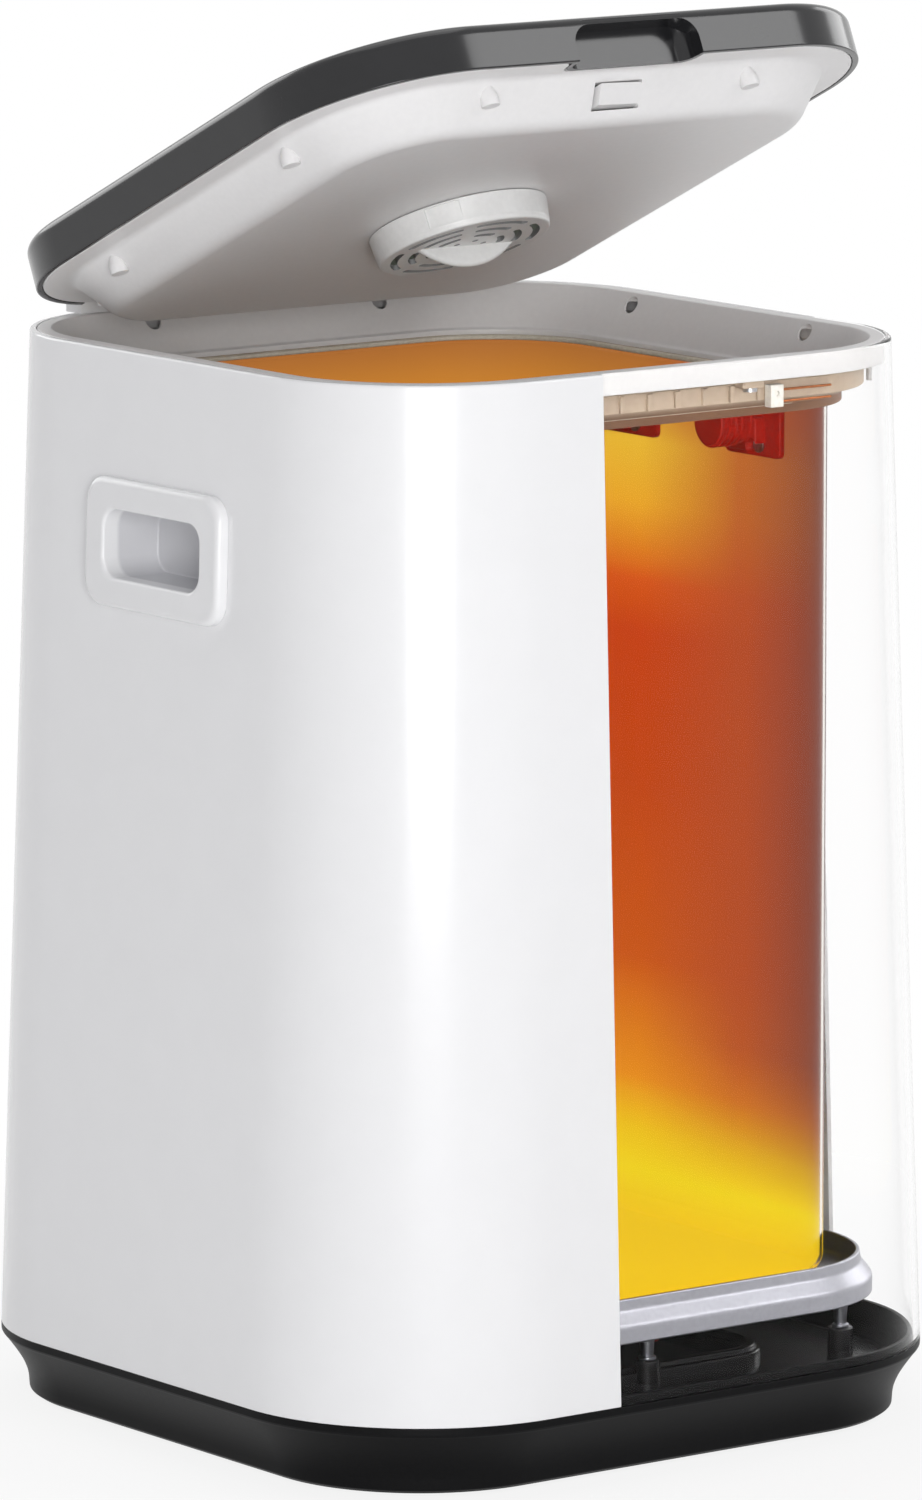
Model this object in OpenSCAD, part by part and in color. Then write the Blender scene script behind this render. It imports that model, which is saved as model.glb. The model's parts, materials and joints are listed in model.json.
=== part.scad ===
// Towel warmer bucket with a hinged lid, cut-away display window and plain recessed grips.
// Millimetres, +Z up, front towards -Y, origin at the middle of the footprint on the table.

/* [Casing] */
// Width and depth of the casing at its foot
foot_width = 300; // [296:1:306]
// Width and depth of the casing at its top
top_width = 274.8; // [272:0.2:280]
// Corner radius of the casing at its foot
foot_corner = 80; // [74:1:84]
// Corner radius of the casing at its top
top_corner = 70; // [66:1:73]
// Height of the casing's foot above the table
casing_foot = 28.5; // [27:0.5:32]
// Height of the casing's top edge above the table
casing_top = 416.5; // [390:0.5:450]
// Wall of the casing
casing_wall = 2.5; // [2:0.1:2.8]
// Left edge of the clear section, measured from the middle
window_left = -36.5; // [-45:0.5:-20]
// Back edge of the clear section on the right-hand wall
window_back = -46; // [-50:1:-45]

/* [Collar] */
// Width of the rim between the casing's outside and the mouth
rim_width = 9.9; // [9:0.1:11]
// Depth of the collar's funnel
collar_depth = 19.3; // [18:0.1:22]
// Height of the collar's outer skirt
skirt_height = 8.5; // [8:0.5:10]
// Thickness of the collar's funnel
collar_wall = 2.3; // [2:0.1:2.6]
// Distance of the dimples from the middle of each side
dimple_offset = 61; // [50:1:64]

/* [Bucket] */
// Width and depth of the inner bucket
bucket_width = 226; // [220:1:227]
// Corner radius of the inner bucket
bucket_corner = 45; // [40:1:50]
// Sheet thickness of the inner bucket
bucket_sheet = 1.2; // [0.8:0.1:1.5]
// Thickness of the seal on the bucket's flange
seal_thickness = 1.7; // [1.2:0.1:2.2]
// Height of the probe housings' screws above the table
probe_height = 368.8; // [340:0.2:371]
// Radius of a probe housing's barrel
probe_radius = 9.5; // [8:0.5:10]

/* [Tray] */
// Height of the tray's lower edge above the table
tray_foot = 46.4; // [45.5:0.1:50]
// Height of the tray's outer skirt
tray_skirt = 8.2; // [7.2:0.2:9]
// Height of the tray's upper wall above its skirt
tray_wall_rise = 8; // [7:0.5:10]
// Gap between the bucket and the tray's upper wall
tray_gap = 10.2; // [6:0.2:11]
// Width of the tray's sloping shoulder
tray_shoulder = 5; // [4.6:0.2:7]
// Radius of the heater tube
heater_radius = 3.3; // [3:0.1:3.6]
// Half width of the heater tube's path
heater_half = 98; // [96:1:102]

/* [Base] */
// Height of the upright lip under the casing
base_lip = 2.7; // [2:0.1:4]
// Step in from the lip to the top of the flare
lip_step = 3.6; // [3:0.1:5]
// Further step in down the flare
flare_in = 8; // [7:0.2:9]
// Thickness of the rubber feet below the bottom cover
foot_pad = 1.2; // [1:0.1:2]
// Distance of the rubber feet from the middle
foot_offset = 98; // [90:1:100]
// Radius of a rubber foot
foot_radius = 9; // [7:0.5:10]
// Width of the channel round the floor plate
channel_width = 15; // [13:0.5:17]
// Radius of the mains cord's hole in its gland
cord_hole = 3.4; // [3:0.1:3.8]

/* [Grips] */
// Height of the grips' middle above the table
grip_height = 344; // [330:1:346]
// Length of a grip's bezel
grip_length = 87; // [84:1:89]
// Height of a grip's bezel
grip_bezel = 49; // [46:1:54]
// How far a grip's bezel stands proud of the wall
grip_proud = 5; // [4:0.5:6]
// Length of a grip's opening
grip_opening = 62; // [56:1:66]
// Height of a grip's opening
grip_mouth = 26; // [24:1:29]
// Depth of a grip's pocket behind the wall
grip_depth = 20.5; // [16:0.5:21.5]

/* [Lid] */
// How far the lid stands open at rest, in degrees
lid_open = 24.5; // [15:0.5:40]
// Gap between the closed lid and the casing
lid_gap = 1.5; // [1:0.1:2.5]
// Step in from the casing's top edge to the lid's rim
lid_inset = 3.8; // [3:0.2:5]
// Corner radius of the lid
lid_corner = 61; // [56:1:66]
// Height of the lid's rim
lid_rim = 17.4; // [16.6:0.2:20]
// Wall of the lid's top cover
lid_wall = 2.5; // [2:0.1:2.8]
// Wall of the white inner cover
inner_wall = 2.2; // [1.8:0.1:2.4]
// Gap between the collar's mouth and the root of the lid's plug
plug_gap = 8; // [7:0.5:9]
// Depth of the lid's plug
plug_depth = 17; // [15:0.5:18]
// How far the plug's sides slope in
plug_slope = 13.2; // [11:0.2:14]
// Length of the finger recess in the lid's front
finger_length = 58; // [50:1:64]
// Height of the finger recess
finger_height = 14; // [12:0.5:14.5]
// Depth of the finger recess
finger_depth = 9.6; // [8:0.2:10]

/* [Hinge] */
// Distance of the hinge axis in from the casing's back edge
hinge_inset = 2.4; // [1.4:0.2:3.4]
// Height of the hinge axis above the casing's top edge
hinge_rise = 11.4; // [11:0.2:12]
// Radius of a hinge pin
pin_radius = 2; // [1.6:0.1:2.4]
// Distance of each hinge from the middle
hinge_offset = 62; // [55:1:64]
// Width of each hinge knuckle on the lid
knuckle_width = 30; // [24:1:34]
// Running clearance of the pins in the knuckles
pin_clearance = 0.05; // [0.03:0.01:0.09]

/* [Diffuser] */
// Radius of the diffuser cap at the lid
diffuser_root = 35; // [34:0.5:38]
// Radius of the diffuser cap at its grille
diffuser_tip = 33.6; // [33.2:0.2:34.8]
// Height of the diffuser cap
diffuser_height = 11.1; // [9:0.5:14]
// Width of the slots in the grille
slot_width = 2.8; // [1.8:0.2:3]
// Width of the grille's radial ribs
grille_rib = 5; // [3:0.5:7]
// Width of the cap's half-moon grip
fin_width = 44; // [36:1:50]
// Height of the cap's half-moon grip
fin_height = 8; // [6:0.5:10]

/* [Controls] */
// Radius of the two buttons
button_radius = 8.5; // [7:0.5:10]
// Travel of the two buttons
button_travel = 1.2; // [0.8:0.1:1.4]
// Distance of each button from the middle
button_offset = 32; // [30:1:35]
// Distance of the control panel's middle behind the lid's front edge
panel_inset = 45.6; // [41.6:0.5:49.6]
// Length of the control panel
panel_length = 100; // [96:1:106]
// Depth of the control panel
panel_depth = 34; // [32:1:38]

/* [Hidden] */
$fn = 48;

// Clearances: parts of one body, and parts that move past each other
fit = 0.3;
sliding = 0.35;
// Extra clearance where a true arc sits inside a faceted one
arc_gap = 0.3;
corner_steps = 8;
far = 400;

// Heights and half widths that several pieces share
foot_half = foot_width / 2;
top_half = top_width / 2;
bucket_half = bucket_width / 2;
mouth_half = top_half - rim_width;
mouth_corner = top_corner - rim_width - 3;
collar_bottom = casing_top - collar_depth;
flange_top = collar_bottom - seal_thickness;
flange_under = flange_top - bucket_sheet;
throat_half = bucket_half + 3.5;
skirt_bottom = casing_top - skirt_height;
flange_half = bucket_half + 4.5;
ledge_thickness = 1.8;
frame_in = mouth_half - 4;
frame_out = frame_in + 2.5;
frame_centre = bucket_half - bucket_corner + 2;
ledge_under = flange_under - ledge_thickness;
frame_top = skirt_bottom - 1.5;

function casing_half(z) = foot_half
    - (foot_half - top_half) * (z - casing_foot) / (casing_top - casing_foot);
function casing_corner(z) = foot_corner
    - (foot_corner - top_corner) * (z - casing_foot) / (casing_top - casing_foot);
wall_tilt = atan((foot_half - top_half) / (casing_top - casing_foot));

// Heater tray
tray_shoulder_z = tray_foot + tray_skirt;
tray_top = tray_shoulder_z + tray_wall_rise;
tray_rim_z = tray_shoulder_z + 3.4;
tray_floor = tray_foot + 7.6;
tray_under = tray_floor - 4;
tray_plate = 1.6;
tray_wall_half = bucket_half + tray_gap + tray_plate;
tray_half = tray_wall_half + tray_shoulder;
tray_centre = bucket_half - bucket_corner + 6;

// Base
cover_thickness = 2.4;
cover_bottom = foot_pad;
cover_top = cover_bottom + cover_thickness;
deck_top = casing_foot - 11;
deck_under = deck_top - 2;
plate_top = deck_top + 2;
plate_half = foot_half - channel_width;
base_foot = 1;
flare_top = casing_foot - base_lip - 1.9;
flare_drop = 20;
base_wall = 2.8;
base_inside = foot_half - casing_wall - fit;
bottom_half = foot_half - lip_step - flare_in - 6;
base_centre_foot = 73;
base_centre_lip = foot_half - foot_corner;

function flare_half(z) = foot_half - lip_step
    - flare_in * sin(90 * min(1, (flare_top - z) / flare_drop));
function base_centre(z) = base_centre_foot
    + (base_centre_lip - base_centre_foot) * min(1, max(0, z / (casing_foot - base_lip)));

// Posts under the tray, two rows front and back
post_xs = [-117, -22, 22, 117];
post_y = heater_half - 8;
boss_radius = 5.15;
boss_top = plate_top + 9;
post_radius = 2.4;

module at_posts() { for (x = post_xs, y = [-post_y, post_y]) translate([x, y, 0]) children(); }

// Screws that hold the bottom cover
base_screw_xy = bottom_half - 20.4;
screw_shank = 1.5;
screw_head = 3.1;
screw_tip = deck_under - 1.5;
gland_x = -60;
gland_z = (cover_top + deck_under) / 2;
gland_radius = (deck_under - cover_top) / 2 - 0.75;

// Electronics in the base
board_bottom = 7;
board_top = board_bottom + 1.6;
board_x = 0;
board_y = 78;
board_size = [110, 64];
board_hole = [48, 26];

// Lid, drawn closed and then swung open about the hinge
lid_z = casing_top + lid_gap;
lid_half = top_half - lid_inset;
lid_centre = lid_half - lid_corner;
lid_crown = 1;
lid_top = lid_rim + lid_crown;
cover_under = lid_top - 2;
hinge_back = top_half - hinge_inset;
hinge_z = casing_top + hinge_rise;
hinge_local = hinge_z - lid_z;
knuckle_radius = 5;
lug_width = 8;
lug_gap = 0.3;
lug_inner = knuckle_width / 2 + lug_gap;
lug_outer = lug_inner + lug_width;
lug_front = knuckle_radius;
notch_half = lug_outer + 1;
notch_front = hinge_back - knuckle_radius - 1.5;
plug_root = mouth_half - plug_gap;
plug_foot = plug_root - plug_slope;
plug_corner = 35;
flange_edge = lid_half - lid_wall - fit;
function plug_half(z) = plug_root + plug_slope * z / plug_depth;

// Diffuser
neck_radius = 32.2;
neck_wall = 1.8;
socket_radius = neck_radius + 0.4;
holder_radius = socket_radius + 3.9;
plug_bottom = -plug_depth;
plug_inside = plug_bottom + inner_wall;
cap_top = plug_bottom - sliding;
cap_bottom = cap_top - diffuser_height;
cap_plate = 2;
neck_top = plug_inside + 8;
lug_z = plug_inside + 2.6;
lug_height = 2;
lug_reach = neck_radius + 2.3;

// Controls
panel_thickness = 1;
panel_recess = 1.2;
panel_y = panel_inset - lid_half;
lid_board_top = 7.6;
lid_board_bottom = 6;
lens_xs = [-15, -5, 5, 15];
lens_radius = 2.1;
lid_board_size = [panel_length + 4, panel_depth + 6];
lid_screw_xy = [panel_length / 2 - 2, panel_depth / 2 - 1];
lid_screw_tip = cover_under - 3.8;

// Surface through rounded rectangles, each given as half x, half y, corner radius and height
function ring_points(r) = [for (q = [0:3]) for (i = [0:corner_steps])
    let (a = 90 * (q + i / corner_steps),
        sx = (r[0] - r[2]) * (q == 0 || q == 3 ? 1 : -1),
        sy = (r[1] - r[2]) * (q < 2 ? 1 : -1))
    [sx + r[2] * cos(a), sy + r[2] * sin(a), r[3]]];

module loft(rings, looped = false) {
    n = 4 * (corner_steps + 1);
    m = len(rings);
    points = [for (r = rings) each ring_points(r)];
    sides = [for (k = [0:(looped ? m : m - 1) - 1]) for (i = [0:n - 1]) for (half = [0, 1])
        let (a = k * n + i, b = k * n + (i + 1) % n,
            c = (k + 1) % m * n + (i + 1) % n, d = (k + 1) % m * n + i)
        half == 0 ? [a, c, b] : [a, d, c]];
    ends = looped ? [] : [[for (i = [0:n - 1]) i], [for (i = [n - 1:-1:0]) (m - 1) * n + i]];
    polyhedron(points = points, faces = concat(sides, ends), convexity = 10);
}

// Ring with equal sides, from its half width, the place of its corner's centre and its height
function even(half, centre, z) = [half, half, half - centre, z];

// Flat rounded rectangle with true arcs
module rounded(size, r) {
    square([size[0], size[1] - 2 * r], center = true);
    square([size[0] - 2 * r, size[1]], center = true);
    for (x = [-1, 1], y = [-1, 1])
        translate([x * (size[0] / 2 - r), y * (size[1] / 2 - r)]) circle(r);
}

module plate(half, r, z0, z1) {
    translate([0, 0, z0]) linear_extrude(z1 - z0) rounded([2 * half, 2 * half], r);
}

module band(out, inner, centre, z0, z1) {
    difference() {
        plate(out, out - centre, z0, z1);
        plate(inner, inner - centre, z0 - 1, z1 + 1);
    }
}

module rod(r, z0, z1) { translate([0, 0, z0]) cylinder(r = r, h = z1 - z0); }

module four(x, y) { for (i = [-1, 1], j = [-1, 1]) translate([i * x, j * y, 0]) children(); }

// Copies round the four sides, each a given distance either side of the middle
module sides(offset) {
    for (q = [0:3]) rotate(90 * q) for (s = [-1, 1]) translate([s * offset, 0, 0]) children();
}

module posed_lid() {
    translate([0, hinge_back, hinge_z]) rotate([-lid_open, 0, 0])
        translate([0, -hinge_back, lid_z - hinge_z]) children();
}

// Base

module base_housing() {
    lip_bottom = casing_foot - base_lip;
    flare_steps = 6;
    flare_zs = [for (i = [0:flare_steps]) 7.1 + (flare_top - 7.1) * i / flare_steps];
    out = concat([even(flare_half(0) - 2.4, base_centre(0), base_foot),
            even(flare_half(0) - 0.6, base_centre(0), base_foot + 1.6)],
        [for (z = flare_zs) even(flare_half(z), base_centre(z), z)],
        [even(foot_half, base_centre_lip, lip_bottom),
            even(foot_half, base_centre_lip, casing_foot)]);
    back = [even(base_inside, base_centre_lip, casing_foot),
        even(base_inside - 0.1, base_centre_lip, casing_foot + 3),
        even(base_inside - 2.2, base_centre_lip, casing_foot + 3),
        even(base_inside - 2.6, base_centre_lip, casing_foot - 6.5),
        even(base_inside - 3.6, base_centre_lip, casing_foot - 9.5),
        even(base_inside - 5.2, base_centre_lip, deck_top),
        even(flare_half(deck_under) - base_wall, base_centre(deck_under), deck_under),
        even(flare_half(10) - base_wall, base_centre(10), 10),
        even(flare_half(cover_top) - base_wall, base_centre(cover_top), cover_top + 0.4),
        even(bottom_half + fit + arc_gap, base_centre(0), cover_top + 0.2),
        even(bottom_half + fit + arc_gap, base_centre(0), base_foot)];
    color("#1f1f20") difference() {
        loft(concat(out, back), looped = true);
        translate([gland_x, foot_half, gland_z]) rotate([90, 0, 0])
            cylinder(r = gland_radius + 0.05, h = 30);
    }
}

// Ring that closes the bottom of the channel and carries the floor plate
module base_deck() {
    color("#1f1f20") loft([even(flare_half(deck_under) - base_wall, base_centre(deck_under), deck_under),
        even(base_inside - 5.2, base_centre_lip, deck_top),
        even(plate_half - 7, base_centre_lip, deck_top),
        even(plate_half - 7, base_centre_lip, deck_under)], looped = true);
}

module floor_plate() {
    color("#141416") difference() {
        plate(plate_half, plate_half - base_centre_lip - 3, deck_top, plate_top);
        for (x = [-heater_half / 3, heater_half / 3])
            translate([x, 0, 0]) rod(5, deck_top - 1, plate_top + 1);
    }
}

// Raised ring on the floor plate, with a bead on it
module floor_ring() {
    ring_half = 90;
    ring_width = 8;
    centre = ring_half - 24;
    color("#141416") difference() {
        union() {
            band(ring_half, ring_half - ring_width, centre, plate_top, plate_top + 4);
            band(ring_half - 2, ring_half - ring_width + 2, centre, plate_top + 4, plate_top + 6);
        }
        at_posts() rod(boss_radius, plate_top - 1, boss_top + 1);
    }
}

module post_bosses() {
    color("#141416") at_posts() difference() {
        rod(boss_radius, plate_top, boss_top);
        rod(post_radius + 0.05, plate_top + 1, boss_top + 1);
    }
}

// Pillars under the floor plate that the bottom cover and the board are screwed to
module cover_pillars() {
    color("#141416") {
        four(base_screw_xy, base_screw_xy * 0.86) difference() {
            rod(4, cover_top, deck_top);
            rod(screw_shank + 0.05, cover_top - 1, screw_tip + 0.5);
        }
        translate([board_x, board_y, 0]) four(board_hole[0], board_hole[1]) difference() {
            rod(3, board_top, deck_top);
            rod(1.25, board_top - 1, screw_tip + 0.5);
        }
    }
}

module bottom_cover() {
    slot_count = 9;
    slot_pitch = 8;
    slot_size = [3, 34];
    slot_y = -40;
    color("#1f1f20") difference() {
        plate(bottom_half, bottom_half - base_centre(0), cover_bottom, cover_top);
        four(base_screw_xy, base_screw_xy * 0.86) {
            rod(screw_shank + 0.2, 0, far);
            rod(screw_head + 0.2, 0, cover_bottom + 1.3);
        }
        for (i = [0:slot_count - 1])
            translate([(i - (slot_count - 1) / 2) * slot_pitch, slot_y, 0])
                linear_extrude(20) rounded(slot_size, slot_size[0] / 2 - 0.01);
    }
}

module rubber_feet() {
    color("#161616") four(foot_offset, foot_offset) rod(foot_radius, 0, cover_bottom);
}

module base_screws() {
    color("silver") four(base_screw_xy, base_screw_xy * 0.86) {
        rod(screw_head, cover_bottom + 0.1, cover_bottom + 1.3);
        rod(screw_shank, cover_bottom + 1.3, screw_tip);
    }
}

module cord_gland() {
    wall_out = flare_half(gland_z + gland_radius + 1) + 0.3;
    wall_in = flare_half(gland_z - gland_radius) - base_wall - 1.4;
    color("#1a1a1a") translate([gland_x, 0, gland_z]) rotate([-90, 0, 0]) difference() {
        union() {
            rod(gland_radius, wall_in - 5, wall_out + 3);
            rod(gland_radius + 0.6, wall_out, wall_out + 3);
            rod(gland_radius + 0.35, wall_in - 4, wall_in);
            translate([0, 0, wall_out + 3]) cylinder(r1 = gland_radius, r2 = gland_radius - 0.8, h = 3);
        }
        rod(cord_hole, wall_in - 6, wall_out + 7);
    }
}

// Heater

module heater_tray() {
    c = tray_centre;
    inner = tray_wall_half - tray_plate;
    color("#a5a4aa") difference() {
        loft([even(tray_half - 6, c, tray_under),
            even(tray_half - tray_plate - 0.8, c, tray_under),
            even(tray_half - tray_plate - 0.8, c, tray_foot),
            even(tray_half, c, tray_foot),
            even(tray_half, c, tray_shoulder_z - 1.6),
            even(tray_half - 0.6, c, tray_shoulder_z - 0.4),
            even(tray_half - 2, c, tray_shoulder_z + 0.5),
            even(tray_wall_half + 1.4, c, tray_shoulder_z + 2.6),
            even(tray_wall_half + 0.3, c, tray_rim_z),
            even(inner, c, tray_rim_z),
            even(inner, c, tray_floor + 1),
            even(inner - 1, c, tray_floor)]);
        at_posts() rod(post_radius + 0.05, tray_under - 1, tray_under + 2);
    }
}

// Upper wall of the tray, a ring that stands on its shoulder round the bucket
module tray_rim() {
    c = tray_centre;
    inner = tray_wall_half - tray_plate;
    color("#a5a4aa") loft([even(tray_wall_half + 0.3, c, tray_rim_z),
        even(tray_wall_half, c, tray_top - 0.3),
        even(tray_wall_half - 0.3, c, tray_top),
        even(inner + 0.3, c, tray_top),
        even(inner, c, tray_top - 0.3),
        even(inner, c, tray_rim_z)], looped = true);
}

module tray_posts() {
    color("#8d8d92") at_posts() {
        rod(post_radius, plate_top + 1.5, tray_under + 1.8);
        rod(post_radius + 1, boss_top, boss_top + 1.2);
        translate([0, 0, boss_top + 1.2])
            cylinder(r1 = post_radius, r2 = post_radius + 1.6, h = tray_under - boss_top - 1.2);
    }
}

module heating_element() {
    r = heater_radius;
    bend = 24;
    straight = heater_half - bend;
    z = tray_under - r;
    color("#6e6a66") {
        for (q = [0:3]) rotate(90 * q) {
            translate([straight, straight, z]) rotate_extrude(angle = 90) translate([bend, 0]) circle(r);
            if (q != 3) translate([heater_half, -straight, z]) rotate([-90, 0, 0]) cylinder(r = r, h = 2 * straight);
        }
        for (s = [-1, 1]) translate([s * heater_half / 3, -heater_half, z]) {
            rotate([0, s * 90, 0]) cylinder(r = r, h = straight - heater_half / 3);
            rotate([0, 90, 90]) cylinder(r = r * 0.8, h = 14);
            sphere(r);
        }
    }
}

module element_clips() {
    color("silver") for (q = [0:2]) rotate(90 * q) translate([heater_half, 0, 0])
        translate([0, 0, tray_under - 2 * heater_radius - 0.8]) difference() {
            translate([-heater_radius - 4, -6, 0]) cube([2 * heater_radius + 8, 12, 2 * heater_radius + 0.8]);
            translate([0, -7, heater_radius + 0.8]) rotate([-90, 0, 0])
                cylinder(r = heater_radius + 0.02, h = 14);
            translate([-heater_radius - 0.02, -7, heater_radius + 0.8])
                cube([2 * heater_radius + 0.04, 14, heater_radius + 1]);
        }
}

module thermostat() {
    color("#c8c0b0") translate([0, 30, 0]) {
        rod(8.5, tray_under - 7, tray_under);
        rod(11, tray_under - 1.2, tray_under);
        for (s = [-1, 1]) translate([s * 4 - 1.5, -0.4, tray_under - 13]) cube([3, 0.8, 6]);
    }
}

fuse_radius = 3;
fuse_length = 22;
fuse_leads = 40;
fuse_y = -20;

module thermal_fuse() {
    color("#d8d0c0") translate([0, fuse_y, tray_under - fuse_radius]) {
        translate([-fuse_length / 2, 0, 0]) rotate([0, 90, 0]) cylinder(r = fuse_radius, h = fuse_length);
        translate([-fuse_leads / 2, 0, 0]) rotate([0, 90, 0]) cylinder(r = 0.6, h = fuse_leads);
    }
}

module fuse_strap() {
    color("silver") translate([-4, fuse_y, 0]) difference() {
        translate([0, -7, tray_under - 2 * fuse_radius - 0.8]) cube([8, 14, 2 * fuse_radius + 0.8]);
        translate([-1, 0, tray_under - fuse_radius]) rotate([0, 90, 0]) cylinder(r = fuse_radius + 0.02, h = 10);
        translate([-1, -fuse_radius - 0.02, tray_under - fuse_radius]) cube([10, 2 * fuse_radius + 0.04, fuse_radius + 1]);
    }
}

// Electronics in the base

module control_board() {
    color("#2f6b3c") difference() {
        translate([board_x, board_y, board_bottom]) linear_extrude(board_top - board_bottom)
            rounded(board_size, 2);
        translate([board_x, board_y, 0]) four(board_hole[0], board_hole[1]) rod(1.6, 0, far);
    }
}

module board_screws() {
    color("silver") translate([board_x, board_y, 0]) four(board_hole[0], board_hole[1]) {
        rod(2.4, board_bottom - 1.6, board_bottom);
        rod(1.2, board_bottom, screw_tip);
    }
}

module terminal_block() {
    size = [26, 10, 7.5];
    pitch = 9;
    place = [board_x - 27, board_y + 17];
    color("#2b2b2e") translate([place[0], place[1], board_top]) difference() {
        translate([-size[0] / 2, -size[1] / 2, 0]) cube(size);
        for (i = [-1:1]) translate([pitch * i, 0, 0]) rod(2, 5, 2 * size[2]);
    }
}

module power_relay() {
    size = [19, 15, 7.6];
    color("#2a4a86") translate([board_x + 21.5, board_y - 6.5, board_top])
        translate([-size[0] / 2, -size[1] / 2, 0]) cube(size);
}

// Leads that run up through the floor plate from the board to the heater and its thermostat
module base_wiring() {
    r = 1.3;
    lift = tray_under - 13 - board_top;
    color("#a03020") for (s = [-1, 1]) {
        x = s * heater_half / 3;
        translate([x, 0, 0]) {
            rod(r, board_top + 4, plate_top + 14);
            translate([0, 0, plate_top + 14]) sphere(r);
            translate([0, 0, board_top + 4]) sphere(r);
            translate([0, 0, board_top + 4]) rotate([-90, 0, 0])
                cylinder(r = r, h = board_y - board_size[1] / 2 + 6);
            translate([0, board_y - board_size[1] / 2 + 6, board_top]) rod(r, 0, 4);
            translate([0, board_y - board_size[1] / 2 + 6, board_top + 4]) sphere(r);
        }
        translate([x, 0, plate_top + 14]) rotate([90, 0, 0])
            cylinder(r = r, h = heater_half - 15 - r);
        translate([x, -heater_half + 15 + r, plate_top + 14]) sphere(r);
        translate([x, -heater_half + 15 + r, 0]) rod(r, plate_top + 14, tray_under - heater_radius);
        translate([x, -heater_half + 15 + r, tray_under - heater_radius]) sphere(r);
    }
}

// Bucket

module bucket_solid() {
    band(bucket_half, bucket_half - bucket_sheet, bucket_half - bucket_corner,
        tray_floor + bucket_sheet, flange_under);
}

// The clear front of the bucket runs round the corner as far as the eye follows it
module bucket_window_space() {
    edge = bucket_half - bucket_corner * 0.4;
    bottom = tray_floor + bucket_sheet + 2;
    translate([window_left, -far, bottom]) cube([far, far - edge, flange_under - 2 - bottom]);
}

module inner_bucket() {
    color("#c8763a") difference() {
        bucket_solid();
        bucket_window_space();
        for (y = probe_ys) translate([bucket_half + 1, y, probe_height]) rotate([0, -90, 0])
            cylinder(r = screw_shank + 0.05, h = 5);
    }
}

module bucket_floor() {
    color("#c8763a") plate(bucket_half, bucket_corner, tray_floor, tray_floor + bucket_sheet);
}

// Flange that hangs the bucket on the underframe's ledge
module bucket_flange() {
    color("#c8763a") band(flange_half, bucket_half - bucket_sheet, bucket_half - bucket_corner,
        flange_under, flange_top);
}

module bucket_window() {
    color([0.9, 0.95, 1, 0.3]) intersection() {
        bucket_solid();
        bucket_window_space();
    }
}

module bucket_seal() {
    inner = bucket_half + 0.6;
    color("#d9d2c4") band(flange_half + 0.2, inner, bucket_half - bucket_corner, flange_top, collar_bottom);
}

probe_ys = [-47, 30.5];
probe_plate = 2.5;
probe_length = 20;
barrel_side = 8;
barrel_up = 9;

module probe_housings() {
    wall = bucket_half - bucket_sheet;
    ribs = 5;
    rib_pitch = 3;
    plate_size = [34, 20];
    block_size = [24, 13];
    block_depth = 5;
    below_screw = 4.5;
    color("#8b1a10") for (y = probe_ys) difference() {
        union() {
            translate([wall - probe_plate, y - 12, probe_height - below_screw])
                cube([probe_plate, plate_size[0], plate_size[1]]);
            translate([wall - probe_plate - block_depth, y - 3, probe_height - 2])
                cube([block_depth, block_size[0], block_size[1]]);
            translate([wall - probe_plate, y + barrel_side, probe_height + barrel_up]) rotate([0, -90, 0]) {
                cylinder(r = probe_radius - 0.9, h = probe_length);
                cylinder(r = probe_radius, h = probe_length / 3);
                for (i = [0:ribs - 1]) translate([0, 0, probe_length - rib_pitch * (i + 0.7)])
                    cylinder(r = probe_radius, h = rib_pitch * 0.55);
            }
        }
        translate([wall - probe_plate - far, y, probe_height]) rotate([0, 90, 0])
            cylinder(r = screw_shank + 0.05, h = 2 * far);
        translate([wall - probe_plate - far, y, probe_height]) rotate([0, 90, 0])
            cylinder(r = 3.2, h = far - 0.4);
        translate([wall - probe_plate - probe_length + 4, y + barrel_side, probe_height + barrel_up])
            rotate([0, 90, 0]) cylinder(r = probe_radius - 3.5, h = probe_length);
    }
}

module probe_screws() {
    wall = bucket_half - bucket_sheet;
    color("silver") for (y = probe_ys) translate([wall - probe_plate, y, probe_height])
        rotate([0, 90, 0]) {
            cylinder(r = screw_shank, h = probe_plate + bucket_sheet + 2);
            translate([0, 0, -1.4]) cylinder(r = 2.8, h = 1);
            translate([0, 0, -0.4]) cylinder(r = screw_shank, h = 0.4);
            translate([0, 0, probe_plate + bucket_sheet]) cylinder(r = 3.2, h = 1.8);
        }
}

// Casing

module casing_solid() {
    edge = 0.9;
    w = casing_wall;
    function at(z, inset) = [casing_half(z) - inset, casing_half(z) - inset,
        casing_corner(z) - inset, z];
    difference() {
        loft([at(casing_foot, 0), at(casing_top - edge, 0), at(casing_top - 0.25, 0.25),
            at(casing_top, edge), at(casing_top, w), at(casing_foot, w)], looped = true);
        for (s = [0, 1]) mirror([s, 0, 0]) on_wall(grip_height)
            translate([0, 0, -15]) linear_extrude(30)
                rounded([grip_mouth + 5, grip_opening + 5], 9.8);
    }
}

module window_space() {
    translate([window_left, -far, 0]) cube([far, far + window_back, far * 2]);
}

module outer_casing() { color("#f2f2f2") difference() { casing_solid(); window_space(); } }

module casing_window() {
    color([0.95, 0.97, 1, 0.25]) intersection() { casing_solid(); window_space(); }
}

// Frame on the right-hand wall: z out of the wall, y along it, x down it
module on_wall(z) {
    translate([casing_half(z), 0, z]) rotate([0, 90 - wall_tilt, 0]) children();
}

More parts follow.
